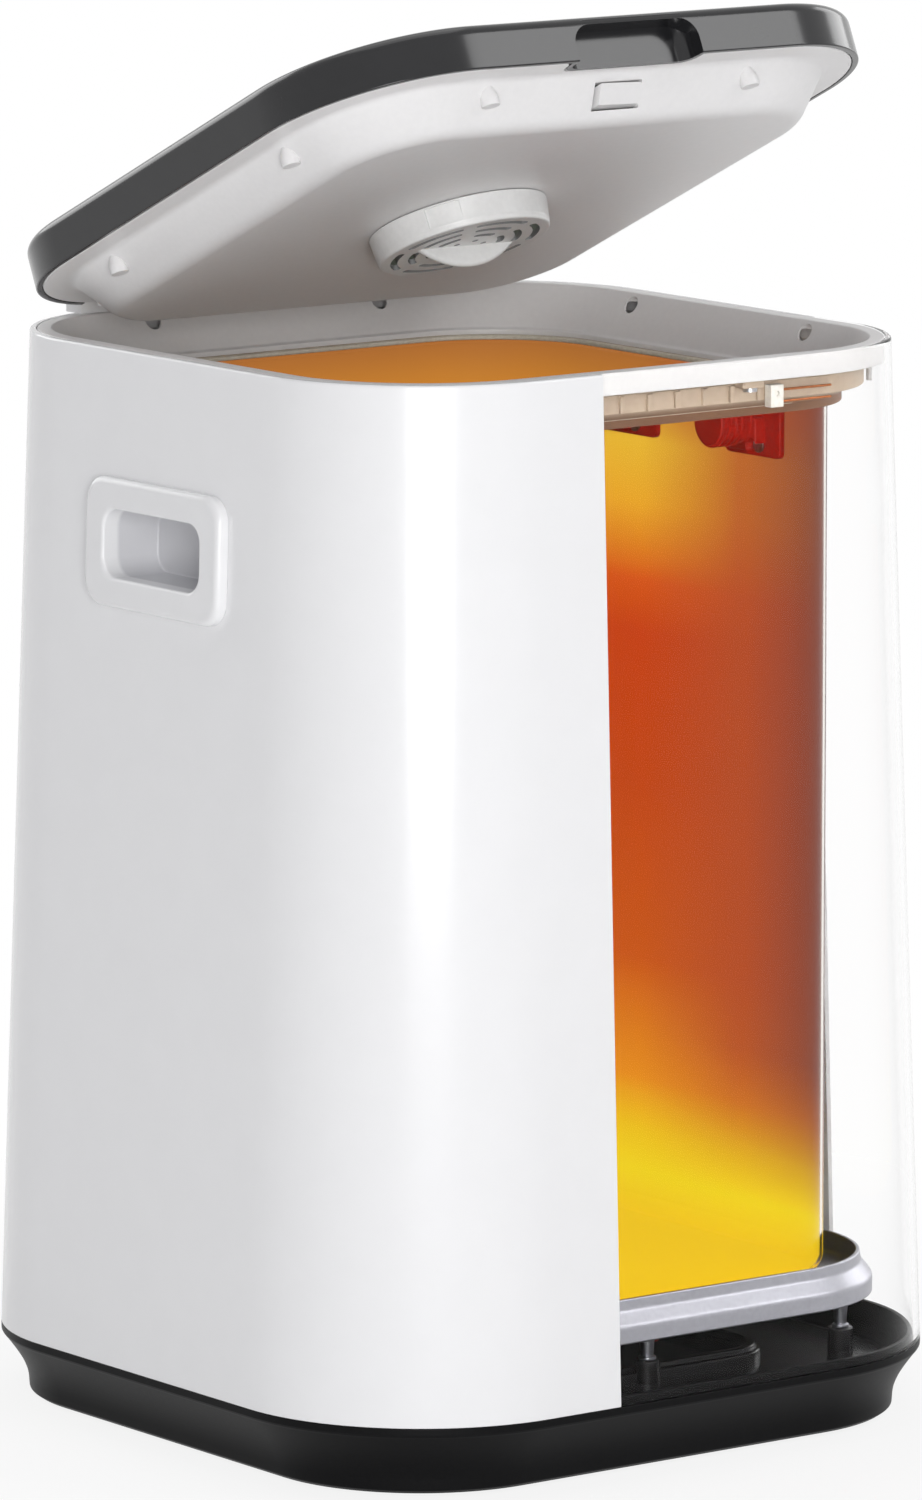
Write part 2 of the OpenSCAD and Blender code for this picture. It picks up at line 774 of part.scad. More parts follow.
module grip() {
    a = grip_bezel / 2;
    b = grip_length / 2;
    c = grip_mouth / 2;
    d = grip_opening / 2;
    t = 1.6;
    p = grip_proud;
    on_wall(grip_height) {
        loft([[c - 0.6 + t, d - 0.6 + t, 8, -grip_depth - t],
            [c + t, d + t, 9, -casing_wall],
            [c + t, d + t, 9, 0],
            [a, b, 10, 0], [a, b, 10, p - 2],
            [a - 0.7, b - 0.7, 9.4, p - 0.7], [a - 2.4, b - 2.4, 8.2, p],
            [c + 1.8, d + 1.8, 8.6, p], [c + 0.5, d + 0.5, 8.2, p - 0.8], [c, d, 8, p - 2.4],
            [c - 0.6, d - 0.6, 7.4, -grip_depth]]);
        for (s = [-1, 1], u = [-18, 18]) translate([s * (c + t + 0.9), u, -casing_wall - 1.1])
            cube([3.4, 8, 1.8], center = true);
    }
}

module grip_left() { color("#f0f0f0") mirror([1, 0, 0]) grip(); }

module grip_right() { color("#f0f0f0") grip(); }

// Collar

boss_half = frame_out + 3.2;
collar_screw_x = 39;

module top_collar() {
    m = mouth_half;
    c = mouth_half - mouth_corner;
    w = collar_wall;
    b = collar_bottom;
    skirt = casing_half(casing_top) - casing_wall - fit;
    skirt_low = casing_half(skirt_bottom) - casing_wall - fit;
    centre_out = top_half - top_corner;
    rim_under = casing_top - 2.6;
    out = [even(throat_half, c - 1, b), even(throat_half + w, c - 1, b),
        even(throat_half + w + 1, c - 0.5, b + 2.3),
        even(m - 1.2, c, rim_under - 1), even(m + 0.6, c, rim_under),
        even(skirt_low - 2.3, centre_out, rim_under), even(skirt_low - 2.3, centre_out, skirt_bottom),
        even(skirt_low, centre_out, skirt_bottom), even(skirt, centre_out, casing_top - 0.4),
        even(skirt - 0.4, centre_out, casing_top)];
    back = [even(m + 0.8, c, casing_top), even(m, c, casing_top - 0.8),
        even((m + throat_half + 1.2) / 2 + 0.4, c, (casing_top + b) / 2 + 0.6),
        even(throat_half + 1.4, c - 0.5, b + 2.6), even(throat_half, c - 1, b + 2.2)];
    color("#dedcda") difference() {
        union() {
            loft(concat(out, back), looped = true);
            sides(collar_screw_x) translate([0, boss_half, 0]) rod(3, skirt_bottom, rim_under + 0.5);
        }
        sides(collar_screw_x) translate([0, boss_half, 0]) rod(screw_shank + 0.05, skirt_bottom - 1, rim_under - 0.5);
        sides(dimple_offset) translate([0, m - 0.8, casing_top - 4.6]) rotate([-60, 0, 0])
            cylinder(r = 2.9, h = 3, center = true);
    }
}

module collar_underframe() {
    z0 = ledge_under;
    rib_count = 8;
    rib_pitch = 13;
    color("#d8c4a8") difference() {
        union() {
            band(frame_out, frame_in, frame_centre, z0, frame_top);
            for (q = [0:3]) rotate(90 * q) {
                for (i = [0:rib_count - 1])
                    translate([(i - (rib_count - 1) / 2) * rib_pitch - 1, frame_out - 0.5, z0 + 1])
                        cube([2, 2.6, skirt_bottom - z0 - 3.5]);
                for (s = [-1, 1]) translate([s * collar_screw_x - 5, frame_out - 0.5, skirt_bottom - 3])
                    cube([10, 6.2, 3]);
            }
        }
        sides(collar_screw_x) translate([0, boss_half, 0]) rod(screw_shank + 0.2, z0, skirt_bottom + 1);
        translate([switch_x - switch_size[0] / 2 - 1, -far, skirt_bottom - switch_drop - 0.2])
            cube([switch_size[0] + 2, far - frame_out, switch_drop + 0.3]);
    }
}

// Inner ledge of the underframe, which the bucket's flange rests on
module underframe_ledge() {
    hole_half = bucket_half + fit;
    color("#d8c4a8") difference() {
        plate(frame_in, frame_in - frame_centre, ledge_under, flange_under);
        plate(hole_half, hole_half - bucket_half + bucket_corner, ledge_under - 1, flange_under + 1);
    }
}

module collar_screws() {
    color("silver") sides(collar_screw_x) translate([0, boss_half, 0]) {
        rod(2.7, skirt_bottom - 4.4, skirt_bottom - 3);
        rod(screw_shank, skirt_bottom - 3, skirt_bottom + 5);
    }
}

switch_x = 51.5;
switch_size = [6, 4, 8.5];
switch_drop = 11.3;

module lid_switch() {
    color("#e8e4dc") translate([switch_x - switch_size[0] / 2, -frame_out - switch_size[1],
        skirt_bottom - switch_drop]) difference() {
            cube(switch_size);
            translate([switch_size[0] / 2, 1, 5.2]) rotate([90, 0, 0]) cylinder(r = 1, h = 2);
        }
}

module switch_leads() {
    color("#b06a40") for (k = [0, 1]) {
        z = skirt_bottom - 5 - 4.4 * k;
        translate([switch_x + switch_size[0] / 2, -frame_out - 2.2, z]) rotate([0, 90, 0]) cylinder(r = 0.5, h = 24);
    }
}

// Hinge

module hinge_brackets() {
    color("#e2e2e2") for (s = [-1, 1]) translate([s * hinge_offset, 0, 0]) difference() {
        union() {
            for (t = [-1, 1]) translate([t * (lug_inner + lug_width / 2), 0, 0]) {
                translate([-lug_width / 2, hinge_back, hinge_z]) rotate([0, 90, 0])
                    cylinder(r = lug_front, h = lug_width);
                translate([-lug_width / 2, hinge_back - lug_front, casing_top])
                    cube([lug_width, 2 * lug_front, hinge_rise]);
            }
            translate([-lug_outer, hinge_back - lug_front, casing_top])
                cube([2 * lug_outer, lug_front + 3, 2.4]);
        }
        translate([-lug_outer - 1, hinge_back, hinge_z]) rotate([0, 90, 0])
            cylinder(r = pin_radius + 0.02, h = 2 * lug_outer + 2);
        for (t = [-1, 1]) translate([t * 9, hinge_back - 3, 0]) {
            rod(screw_shank + 0.1, casing_top - 1, casing_top + 5);
        }
    }
}

module hinge_screws() {
    color("silver") for (s = [-1, 1], t = [-1, 1])
        translate([s * hinge_offset + t * 9, hinge_back - 3, 0])
            rod(screw_shank, casing_top, casing_top + 2.6);
}

module hinge_pins() {
    color("silver") for (s = [-1, 1])
        translate([s * hinge_offset - lug_outer + 0.5, hinge_back, hinge_z]) rotate([0, 90, 0])
            cylinder(r = pin_radius, h = 2 * lug_outer - 1);
}

// Lid

module hinge_notches() {
    for (s = [-1, 1]) translate([s * hinge_offset - notch_half, notch_front, -5])
        cube([2 * notch_half, 30, hinge_local + knuckle_radius + 0.7 + 5]);
}

module finger_shape(length, height) {
    r = 8;
    translate([-length / 2, -5]) square([length, height + 5 - r]);
    translate([-length / 2 + r, -5]) square([length - 2 * r, height + 5]);
    for (s = [-1, 1]) translate([s * (length / 2 - r), height - r]) circle(r);
}

module finger_pocket(length, height, depth, from) {
    translate([0, -lid_half - from + depth + from, 0]) rotate([90, 0, 0])
        linear_extrude(depth + from) finger_shape(length, height);
}

module lid_top_cover() {
    h = lid_half;
    c = lid_centre;
    w = lid_wall;
    color("#3a3a3c") posed_lid() difference() {
        union() {
            loft([even(h - 14, c, cover_under), even(h - w - 2.5, c, cover_under - 0.5),
                even(h - w, c, lid_rim - 4.5), even(h - w, c, 0), even(h, c, 0),
                even(h, c, lid_rim - 4.2), even(h - 0.5, c, lid_rim - 2.2),
                even(h - 2, c, lid_rim - 0.6), even(h - 4.2, c, lid_rim),
                even(h - 14, c, lid_top)]);
            intersection() {
                finger_pocket(finger_length + 4, finger_height + 2, finger_depth + 2, -0.6);
                translate([-far, -far, 0]) cube([2 * far, 2 * far, lid_rim - 2.5]);
            }
            translate([0, panel_y, 0]) four(lid_screw_xy[0], lid_screw_xy[1])
                rod(2.8, lid_board_top, cover_under + 0.3);
        }
        finger_pocket(finger_length, finger_height, finger_depth, 5);
        hinge_notches();
        translate([0, panel_y, lid_top - panel_recess]) linear_extrude(5)
            rounded([panel_length + 0.4, panel_depth + 0.4], 4.2);
        translate([0, panel_y, 0]) {
            for (s = [-1, 1]) translate([s * button_offset, 0, 0])
                rod(button_radius + sliding, cover_under - 1, far);
            for (x = lens_xs) translate([x, 0, 0]) rod(lens_radius + 0.2, cover_under - 1, far);
            four(lid_screw_xy[0], lid_screw_xy[1]) rod(1.15, lid_board_top - 1, lid_screw_tip + 0.4);
        }
    }
}

module plug_bump() {
    translate([0, plug_half(-5.2) + 0.4, -9]) {
        cylinder(r1 = 3.9, r2 = 2.6, h = 5);
        translate([0, 0, 5]) cylinder(r1 = 2.6, r2 = 1.2, h = 2.4);
    }
}

module lid_inner_cover() {
    w = inner_wall;
    c = plug_foot - plug_corner;
    cr = lid_centre;
    d = plug_depth;
    tab_half = 10.75;
    color("#e6e6e6") posed_lid() difference() {
        union() {
            loft([even(plug_foot - 8, c, -d), even(plug_foot - 2.4, c, -d + 0.6),
                even(plug_foot + 0.4, c, -d + 2.6), even(plug_half(-1.6), cr - 0.6, -1.6),
                even(plug_root + 1.6, cr, 0), even(flange_edge, cr, 0),
                even(flange_edge, cr, w), even(plug_root + 1.4 - w, cr, w),
                even(plug_half(-1.6) - w, cr - 0.6, -0.8), even(plug_foot + 0.2 - w, c, -d + w + 1.8),
                even(plug_foot - 2.4 - w, c, -d + w + 0.2), even(plug_foot - 9, c, -d + w)]);
            intersection() {
                sides(dimple_offset) plug_bump();
                difference() {
                    loft([even(plug_half(-12) + 6, cr, -12), even(plug_root + 8, cr, -0.3)]);
                    loft([even(plug_half(-12) - w, cr - 1, -12.1), even(plug_root - w + 0.4, cr - 0.6, -0.2)]);
                }
            }
            translate([0, -plug_half(-8.5), -8.5]) rotate([-38, 0, 0])
                translate([-tab_half + 2, -1.4, -3]) cube([2 * tab_half - 4, 2.6, 5]);
        }
        rod(socket_radius, -d - 1, 10);
        for (s = [-1, 1], t = [-1, 1]) translate([s * hinge_offset + t * 9, arm_screw_y, 0])
            rod(screw_shank + 0.05, 0.6, inner_wall + 1);
        hinge_notches();
        finger_pocket(finger_length + 4 + 2 * fit, finger_height + 4, finger_depth + 2 + fit, 5);
        for (z = [-12.4, -4.6]) translate([-tab_half, -plug_half(z) - 6, z]) cube([2 * tab_half, 12, 1.1]);
        translate([-tab_half - 0.6, -plug_half(-8) - 6, -12.4]) cube([1.1, 12, 8.9]);
    }
}

arm_top = hinge_local + 2.4;
arm_front = plug_root + 0.3;
arm_screw_y = arm_front + 2.7;
arm_screw_head = 2.2;
arm_block = arm_screw_y + arm_screw_head + fit;

module lid_hinge_arms() {
    half = knuckle_width / 2;
    color("#3a3a3c") posed_lid() for (s = [-1, 1]) translate([s * hinge_offset, 0, 0]) difference() {
        union() {
            translate([-half, hinge_back, hinge_local]) rotate([0, 90, 0])
                cylinder(r = knuckle_radius, h = knuckle_width);
            translate([-half, arm_front, inner_wall]) cube([knuckle_width, notch_front - arm_front, 5]);
            translate([-half, arm_block, inner_wall + 2.4])
                cube([knuckle_width, hinge_back - arm_block, arm_top - inner_wall - 2.4]);
        }
        translate([-half - 1, hinge_back, hinge_local]) rotate([0, 90, 0])
            cylinder(r = pin_radius + pin_clearance, h = knuckle_width + 2);
        for (t = [-1, 1]) translate([t * 9, arm_screw_y, 0]) rod(screw_shank + 0.1, 0, inner_wall + 9);
    }
}

module arm_screws() {
    color("silver") posed_lid() for (s = [-1, 1], t = [-1, 1])
        translate([s * hinge_offset + t * 9, arm_screw_y, 0]) {
            rod(screw_shank, 0.7, inner_wall + 5);
            rod(arm_screw_head, inner_wall + 5, inner_wall + 6.4);
        }
}

module lid_board() {
    color("#2f6b3c") posed_lid() translate([0, panel_y, 0]) {
        difference() {
            translate([0, 0, lid_board_bottom]) linear_extrude(lid_board_top - lid_board_bottom)
                rounded(lid_board_size, 2);
            four(lid_screw_xy[0], lid_screw_xy[1]) rod(1.3, 0, far);
        }
        for (s = [-1, 1]) translate([s * button_offset - 3, -3, lid_board_top])
            cube([6, 6, switch_top - lid_board_top]);
        for (x = lens_xs) translate([x, 0, 0]) rod(1.5, lid_board_top, lid_board_top + 3);
    }
}

module lid_board_screws() {
    color("silver") posed_lid() translate([0, panel_y, 0]) four(lid_screw_xy[0], lid_screw_xy[1]) {
        rod(2.2, lid_board_bottom - 1.4, lid_board_bottom);
        rod(1.1, lid_board_bottom, lid_screw_tip);
    }
}

module control_panel() {
    z0 = lid_top - panel_recess;
    color("#0e0e10") posed_lid() translate([0, panel_y, 0]) difference() {
        translate([0, 0, z0]) linear_extrude(panel_thickness) rounded([panel_length, panel_depth], 4);
        for (s = [-1, 1]) translate([s * button_offset, 0, 0]) rod(button_radius + sliding, 0, far);
        for (x = lens_xs) translate([x, 0, 0]) rod(lens_radius + 0.2, 0, far);
    }
}

module indicator_lenses() {
    color("#f4f4f4") posed_lid() for (x = lens_xs) translate([x, panel_y, 0]) {
        rod(lens_radius, cover_under - 1.2, lid_top - 0.1);
        rod(lens_radius + 1.1, cover_under - 1.2, cover_under);
    }
}

module lid_magnet() {
    color("#8a8a8a") posed_lid() translate([switch_x, -(plug_root + flange_edge) / 2, 0])
        rod(3.8, inner_wall, inner_wall + 3);
}

// Buttons, held under the cover by their flanges and returned by the switches on the board
flange_height = 1.5;
flange_z = cover_under - 0.3 - flange_height;
switch_top = flange_z - 2.2 - button_travel - 0.4;

module button(s) {
    dish = 60;
    posed_lid() translate([s * button_offset, panel_y, 0]) difference() {
        union() {
            rod(button_radius, flange_z, lid_top + 0.7);
            rod(button_radius + 1.3, flange_z, flange_z + flange_height);
            rod(2, flange_z - 2.2, flange_z);
        }
        translate([0, 0, lid_top + 0.1 + dish]) sphere(dish, $fn = 96);
    }
}

module power_button() { color("#d8d8d8") button(-1); }

module timer_button() { color("#bdbdbd") button(1); }

// Diffuser

module diffuser_holder() {
    z0 = plug_inside;
    z1 = neck_top + 1.5;
    groove = lug_reach + 0.4;
    color("#d4d4d4") posed_lid() difference() {
        rotate_extrude() polygon([[socket_radius, z0], [holder_radius + 3, z0],
            [holder_radius + 3, z0 + 1.6], [holder_radius, z0 + 1.6], [holder_radius, z1 + 1.5],
            [24, z1 + 1.5], [24, z1], [socket_radius, z1], [socket_radius, lug_z + lug_height + 0.4],
            [groove, lug_z + lug_height + 0.4], [groove, lug_z - 0.4], [socket_radius, lug_z - 0.4]]);
        for (q = [0:2]) rotate(120 * q + 75) translate([0, -6, z0 - 1])
            cube([groove, 12, lug_z - z0 + 2]);
    }
}

module grille_slots() {
    rings = [7.2, 14.1, 21, 28];
    ribs = 3;
    difference() {
        for (r = rings) translate([0, 0, cap_bottom - 1]) difference() {
            cylinder(r = r + slot_width / 2, h = cap_plate + 2);
            translate([0, 0, -1]) cylinder(r = r - slot_width / 2, h = cap_plate + 4);
        }
        for (i = [0:ribs - 1]) rotate(180 * i / ribs)
            translate([-far, -grille_rib / 2, cap_bottom - 2]) cube([2 * far, grille_rib, cap_plate + 4]);
    }
}

module diffuser_cap() {
    fin_radius = (fin_width * fin_width / 4 + fin_height * fin_height) / (2 * fin_height);
    color("#dcdcdc") posed_lid() {
        difference() {
            union() {
                rotate_extrude() polygon([[0, cap_bottom], [diffuser_tip - 0.8, cap_bottom],
                    [diffuser_tip, cap_bottom + 0.8], [diffuser_root, cap_top], [neck_radius, cap_top],
                    [neck_radius, neck_top], [neck_radius - neck_wall, neck_top],
                    [neck_radius - neck_wall, cap_bottom + cap_plate], [0, cap_bottom + cap_plate]]);
                for (q = [0:2]) rotate(120 * q) intersection() {
                    translate([neck_radius - 1, -4, lug_z]) cube([4, 8, lug_height]);
                    rod(lug_reach, lug_z, lug_z + lug_height);
                }
            }
            grille_slots();
        }
        intersection() {
            translate([0, 1.5, cap_bottom - fin_height + fin_radius]) rotate([90, 0, 0])
                cylinder(r = fin_radius, h = 3, $fn = 96);
            translate([-fin_width, -5, cap_bottom - fin_height - 1])
                cube([2 * fin_width, 10, fin_height + 1.5]);
        }
    }
}

module fragrance_pad() {
    color("#cfe0c4") posed_lid() rod(neck_radius - neck_wall - 0.4, cap_bottom + cap_plate, cap_bottom + cap_plate + 5);
}

base_housing();
base_deck();
floor_plate();
floor_ring();
post_bosses();
cover_pillars();
bottom_cover();
rubber_feet();
base_screws();
cord_gland();
heater_tray();
tray_rim();
tray_posts();
heating_element();
element_clips();
thermostat();
thermal_fuse();
fuse_strap();
control_board();
board_screws();
terminal_block();
power_relay();
base_wiring();
inner_bucket();
bucket_floor();
bucket_flange();
bucket_window();
bucket_seal();
probe_housings();
probe_screws();
outer_casing();
casing_window();
grip_left();
grip_right();
top_collar();
collar_underframe();
underframe_ledge();
collar_screws();
lid_switch();
switch_leads();
hinge_brackets();
hinge_screws();
hinge_pins();
lid_top_cover();
lid_inner_cover();
lid_hinge_arms();
arm_screws();
lid_board();
lid_board_screws();
control_panel();
indicator_lenses();
lid_magnet();
diffuser_holder();
diffuser_cap();
fragrance_pad();
power_button();
timer_button();
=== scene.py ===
# Towel warmer bucket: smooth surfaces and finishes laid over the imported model.
import json
import math

import bmesh
import bpy
import numpy as np
from mathutils import Matrix, Vector


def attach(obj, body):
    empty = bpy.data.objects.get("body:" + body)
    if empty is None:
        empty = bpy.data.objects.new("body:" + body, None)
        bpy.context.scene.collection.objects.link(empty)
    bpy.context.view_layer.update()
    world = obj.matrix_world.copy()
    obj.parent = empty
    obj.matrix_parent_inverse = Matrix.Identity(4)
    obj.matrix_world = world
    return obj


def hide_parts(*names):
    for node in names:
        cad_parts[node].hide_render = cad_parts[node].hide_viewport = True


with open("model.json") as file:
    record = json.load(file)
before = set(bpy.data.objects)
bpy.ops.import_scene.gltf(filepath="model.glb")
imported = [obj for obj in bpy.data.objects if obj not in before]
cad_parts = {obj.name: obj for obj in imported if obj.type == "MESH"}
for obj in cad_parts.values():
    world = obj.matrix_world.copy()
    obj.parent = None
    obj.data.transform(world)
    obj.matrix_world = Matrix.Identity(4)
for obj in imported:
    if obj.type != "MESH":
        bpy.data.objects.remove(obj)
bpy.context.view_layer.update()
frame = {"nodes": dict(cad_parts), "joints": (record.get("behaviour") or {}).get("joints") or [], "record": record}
nodes = frame["nodes"]
scene = bpy.context.scene
print("frame loaded:", len(nodes), "nodes")

# View and light

cameraPlan = {
    "azimuth": -36.83,  # degrees round from the front, towards the left
    "elevation": 9.38,
    "distance": 3.997,
    "target": (0.00091, 0.0, 0.25426),
    "lens": 249.7,
}


def makeCamera(plan):
    # the camera stands at target + distance * (sin a cos e, -cos a cos e, sin e) and looks back at it
    a, e = math.radians(plan["azimuth"]), math.radians(plan["elevation"])
    back = Vector((math.sin(a) * math.cos(e), -math.cos(a) * math.cos(e), math.sin(e)))
    data = bpy.data.cameras.new("camera")
    data.lens, data.sensor_width, data.sensor_fit = plan["lens"], 36, "AUTO"
    data.clip_start, data.clip_end = 0.1, 40
    camera = bpy.data.objects.new("camera", data)
    camera.location = Vector(plan["target"]) + back * plan["distance"]
    camera.rotation_mode = "QUATERNION"
    camera.rotation_quaternion = (-back).to_track_quat("-Z", "Y")
    scene.collection.objects.link(camera)
    scene.camera = camera


makeCamera(cameraPlan)


def linear(value):
    # sRGB hex to linear: c / 12.92 below 0.04045, otherwise ((c + 0.055) / 1.055) ^ 2.4
    c = np.array([int(value[i:i + 2], 16) for i in (1, 3, 5)]) / 255
    c = np.where(c <= 0.04045, c / 12.92, ((c + 0.055) / 1.055) ** 2.4)
    return (*c.tolist(), 1.0)


def addNode(tree, kind, settings=None, links=None):
    # one shader node: settings go to a socket of that name or number, or else to the node itself
    node = tree.nodes.new("ShaderNode" + kind)
    for key, value in (settings or {}).items():
        if isinstance(key, int) or key in node.inputs:
            node.inputs[key].default_value = value
        else:
            setattr(node, key, value)
    for key, socket in (links or {}).items():
        tree.links.new(socket, node.inputs[key])
    return node


softboxes = [
    # name, place, aim, width, height, watts
    ("keyBox", (-1.6, -2.36, 0.9), (0, 0, 0.3), 0.8, 1.1, 23),
    ("lowBox", (-1.25, -1.95, 0.36), (0, 0, 0.45), 1.0, 0.6, 15),
    ("rimCard", (1.55, -1.7, 1.75), (0, -0.1, 0.5), 1.0, 0.9, 13),
    ("rightBox", (2.3, 0.3, 1.0), (0, 0, 0.25), 0.9, 1.5, 12),
    ("topBox", (0.1, 0.3, 2.4), (0, 0, 0.3), 1.8, 1.8, 11),
    ("backBox", (-0.6, 2.3, 1.3), (0, 0, 0.3), 1.6, 1.4, 18),
]
for name, place, aim, width, height, watts in softboxes:
    lamp = bpy.data.lights.new(name, "AREA")
    lamp.shape, lamp.size, lamp.size_y, lamp.energy = "RECTANGLE", width, height, watts
    box = bpy.data.objects.new(name, lamp)
    box.location = place
    box.rotation_mode = "QUATERNION"
    box.rotation_quaternion = (Vector(aim) - Vector(place)).to_track_quat("-Z", "Y")
    scene.collection.objects.link(box)

worldLight = {"studio": "#77777a", "strength": 1.0}


def seenWhite(tree):
    # 1 for the rays that should meet the white background: from the camera, in gloss and through glass
    paths = addNode(tree, "LightPath")
    both = addNode(tree, "Math", {"operation": "MAXIMUM"},
                   {0: paths.outputs["Is Camera Ray"], 1: paths.outputs["Is Transmission Ray"]})
    return addNode(tree, "Math", {"operation": "MAXIMUM"}, {0: both.outputs[0], 1: paths.outputs["Is Glossy Ray"]})


scene.world = bpy.data.worlds.new("studio")
scene.world.use_nodes = True
tree = scene.world.node_tree
tree.nodes.clear()
seen = seenWhite(tree)
dome = addNode(tree, "Background", {"Color": linear(worldLight["studio"]), "Strength": worldLight["strength"]})
white = addNode(tree, "Background", {"Color": (1, 1, 1, 1), "Strength": 1.0})
mix = addNode(tree, "MixShader", {}, {0: seen.outputs[0], 1: dome.outputs[0], 2: white.outputs[0]})
addNode(tree, "OutputWorld", {}, {"Surface": mix.outputs[0]})
scene.view_settings.view_transform = "Standard"

# Pale floor that keeps the object's shadow and meets a white background
floorHalf = 6.0
floorMesh = bpy.data.meshes.new("floor")
floorMesh.from_pydata([(-floorHalf, -floorHalf, 0), (floorHalf, -floorHalf, 0),
                       (floorHalf, floorHalf, 0), (-floorHalf, floorHalf, 0)], [], [(0, 1, 2, 3)])
floor = bpy.data.objects.new("floor", floorMesh)
floor.location.z = -0.0006
scene.collection.objects.link(floor)
floorPaper = bpy.data.materials.new("floorPaper")
floorPaper.use_nodes = True
tree = floorPaper.node_tree
tree.nodes.clear()
paper = addNode(tree, "BsdfDiffuse", {"Color": (0.9, 0.9, 0.9, 1)})
glow = addNode(tree, "Emission", {"Color": (1, 1, 1, 1), "Strength": 1.0})
place = addNode(tree, "TexCoord")
away = addNode(tree, "VectorMath", {"operation": "LENGTH"}, {0: place.outputs["Object"]})
fade = addNode(tree, "MapRange", {"From Min": 0.2, "From Max": 0.5, "To Min": 0.86, "To Max": 1.0},
               {"Value": away.outputs["Value"]})
share = addNode(tree, "Math", {"operation": "MULTIPLY"}, {0: seenWhite(tree).outputs[0], 1: fade.outputs[0]})
mix = addNode(tree, "MixShader", {}, {0: share.outputs[0], 1: paper.outputs[0], 2: glow.outputs[0]})
addNode(tree, "OutputMaterial", {}, {"Surface": mix.outputs[0]})
floorMesh.materials.append(floorPaper)
print("camera, lamps and floor made")

# Finishes


def grain(tree, millimetres, detail=2.0, stretch=(1, 1, 1)):
    # noise whose grain is that many millimetres wide, in object space
    place = addNode(tree, "TexCoord")
    turned = addNode(tree, "Mapping", {"Scale": stretch}, {"Vector": place.outputs["Object"]})
    return addNode(tree, "TexNoise", {"Scale": 500 / millimetres, "Detail": detail},
                   {"Vector": turned.outputs[0]})


def finish(name, colour, shade=None, roughness=0.5, grainSize=1.0, bump=0.1, depth=0.02,
           stretch=(1, 1, 1), spread=0.05, **sockets):
    # colour drifts to shade and roughness by +-spread over a noise of grainSize millimetres, and the
    # same noise lifts the surface by depth millimetres
    material = bpy.data.materials.new(name)
    material.use_nodes = True
    tree = material.node_tree
    shader = tree.nodes["Principled BSDF"]
    for key, value in sockets.items():
        shader.inputs[key].default_value = value
    noise = grain(tree, grainSize, stretch=stretch)
    tint = addNode(tree, "ValToRGB", {}, {"Fac": noise.outputs["Fac"]})
    tint.color_ramp.elements[0].position, tint.color_ramp.elements[0].color = 0.35, linear(shade or colour)
    tint.color_ramp.elements[1].position, tint.color_ramp.elements[1].color = 0.65, linear(colour)
    tree.links.new(tint.outputs["Color"], shader.inputs["Base Color"])
    rough = addNode(tree, "MapRange", {"To Min": max(roughness - spread, 0.02), "To Max": roughness + spread},
                    {"Value": noise.outputs["Fac"]})
    tree.links.new(rough.outputs["Result"], shader.inputs["Roughness"])
    if bump:
        lift = addNode(tree, "Bump", {"Strength": bump, "Distance": depth / 1000},
                       {"Height": noise.outputs["Fac"]})
        tree.links.new(lift.outputs["Normal"], shader.inputs["Normal"])
    return material


# Injection-moulded gloss ABS: a bright skin whose tone and roughness vary faintly
glossAbs = finish("glossWhiteAbs", "#efeff0", "#eeeeef", 0.22, 9, 0, spread=0.01,
                  **{"Coat Weight": 0.25, "Coat Roughness": 0.1})
# Moulded ABS with a satin skin, on the lid's inside and the grips
gripAbs = finish("gripWhiteAbs", "#eeeeef", "#ededee", 0.24, 6, 0.02, 0.02, spread=0.01)
satinAbs = finish("satinWhiteAbs", "#e6e5e5", "#e4e3e3", 0.36, 1.2, 0.03, 0.01, spread=0.02)
collarAbs = finish("satinGreyWhiteAbs", "#dfdddc", "#dddbda", 0.36, 1.2, 0.03, 0.01, spread=0.02)
lidGloss = finish("glossGraphiteAbs", "#202022", "#1e1e20", 0.17, 6, 0.02, 0.02, spread=0.01,
                  **{"Specular IOR Level": 0.38, "Coat Weight": 0.05, "Coat Roughness": 0.06})
baseSatin = finish("satinBlackAbs", "#121213", "#101011", 0.42, 0.8, 0.04, 0.02, spread=0.03,
                   **{"Specular IOR Level": 0.07})
floorGloss = finish("glossBlackAbs", "#262628", "#232325", 0.24, 5, 0.01, 0.02, spread=0.01,
                    **{"Specular IOR Level": 0.4})
rubber = finish("blackRubber", "#161616", "#111111", 0.75, 0.6, 0.3, 0.04)
zincSteel = finish("zincPlatedSteel", "#c4c4c6", "#aeaeb2", 0.3, 0.5, 0.1, 0.01, Metallic=1.0)
tubeSteel = finish("annealedSteelTube", "#7d756d", "#5e5650", 0.42, 2.5, 0.1, 0.02, Metallic=1.0)
castAluminium = finish("castAluminium", "#a9a9b0", "#a2a2a9", 0.4, 0.9, 0.05, 0.02, spread=0.03, Metallic=1.0)
ceramic = finish("glazedCeramic", "#d9d0bf", "#cfc5b2", 0.3, 1.5, 0.05, 0.01)
boardGreen = finish("solderMaskGreen", "#2c6a3b", "#25592f", 0.3, 3, 0.08, 0.02)
terminalBlack = finish("matteNylonBlack", "#2a2a2d", "#232325", 0.5, 0.8, 0.1, 0.01)
relayBlue = finish("matteNylonBlue", "#27498a", "#223f78", 0.4, 0.8, 0.1, 0.01)
wireRed = finish("siliconeWireRed", "#a8321f", "#972b1a", 0.45, 0.8, 0.1, 0.01)
sealSilicone = finish("siliconeSeal", "#d8d0c0", "#cfc6b4", 0.6, 1, 0.1, 0.01)
probeRed = finish("mouldedRedNylon", "#d3200c", "#bf1b0b", 0.34, 0.8, 0.08, 0.02, **{"Specular IOR Level": 0.3})
frameCream = finish("creamPolypropylene", "#c4b09a", "#bea993", 0.5, 1.5, 0.06, 0.02, spread=0.03)
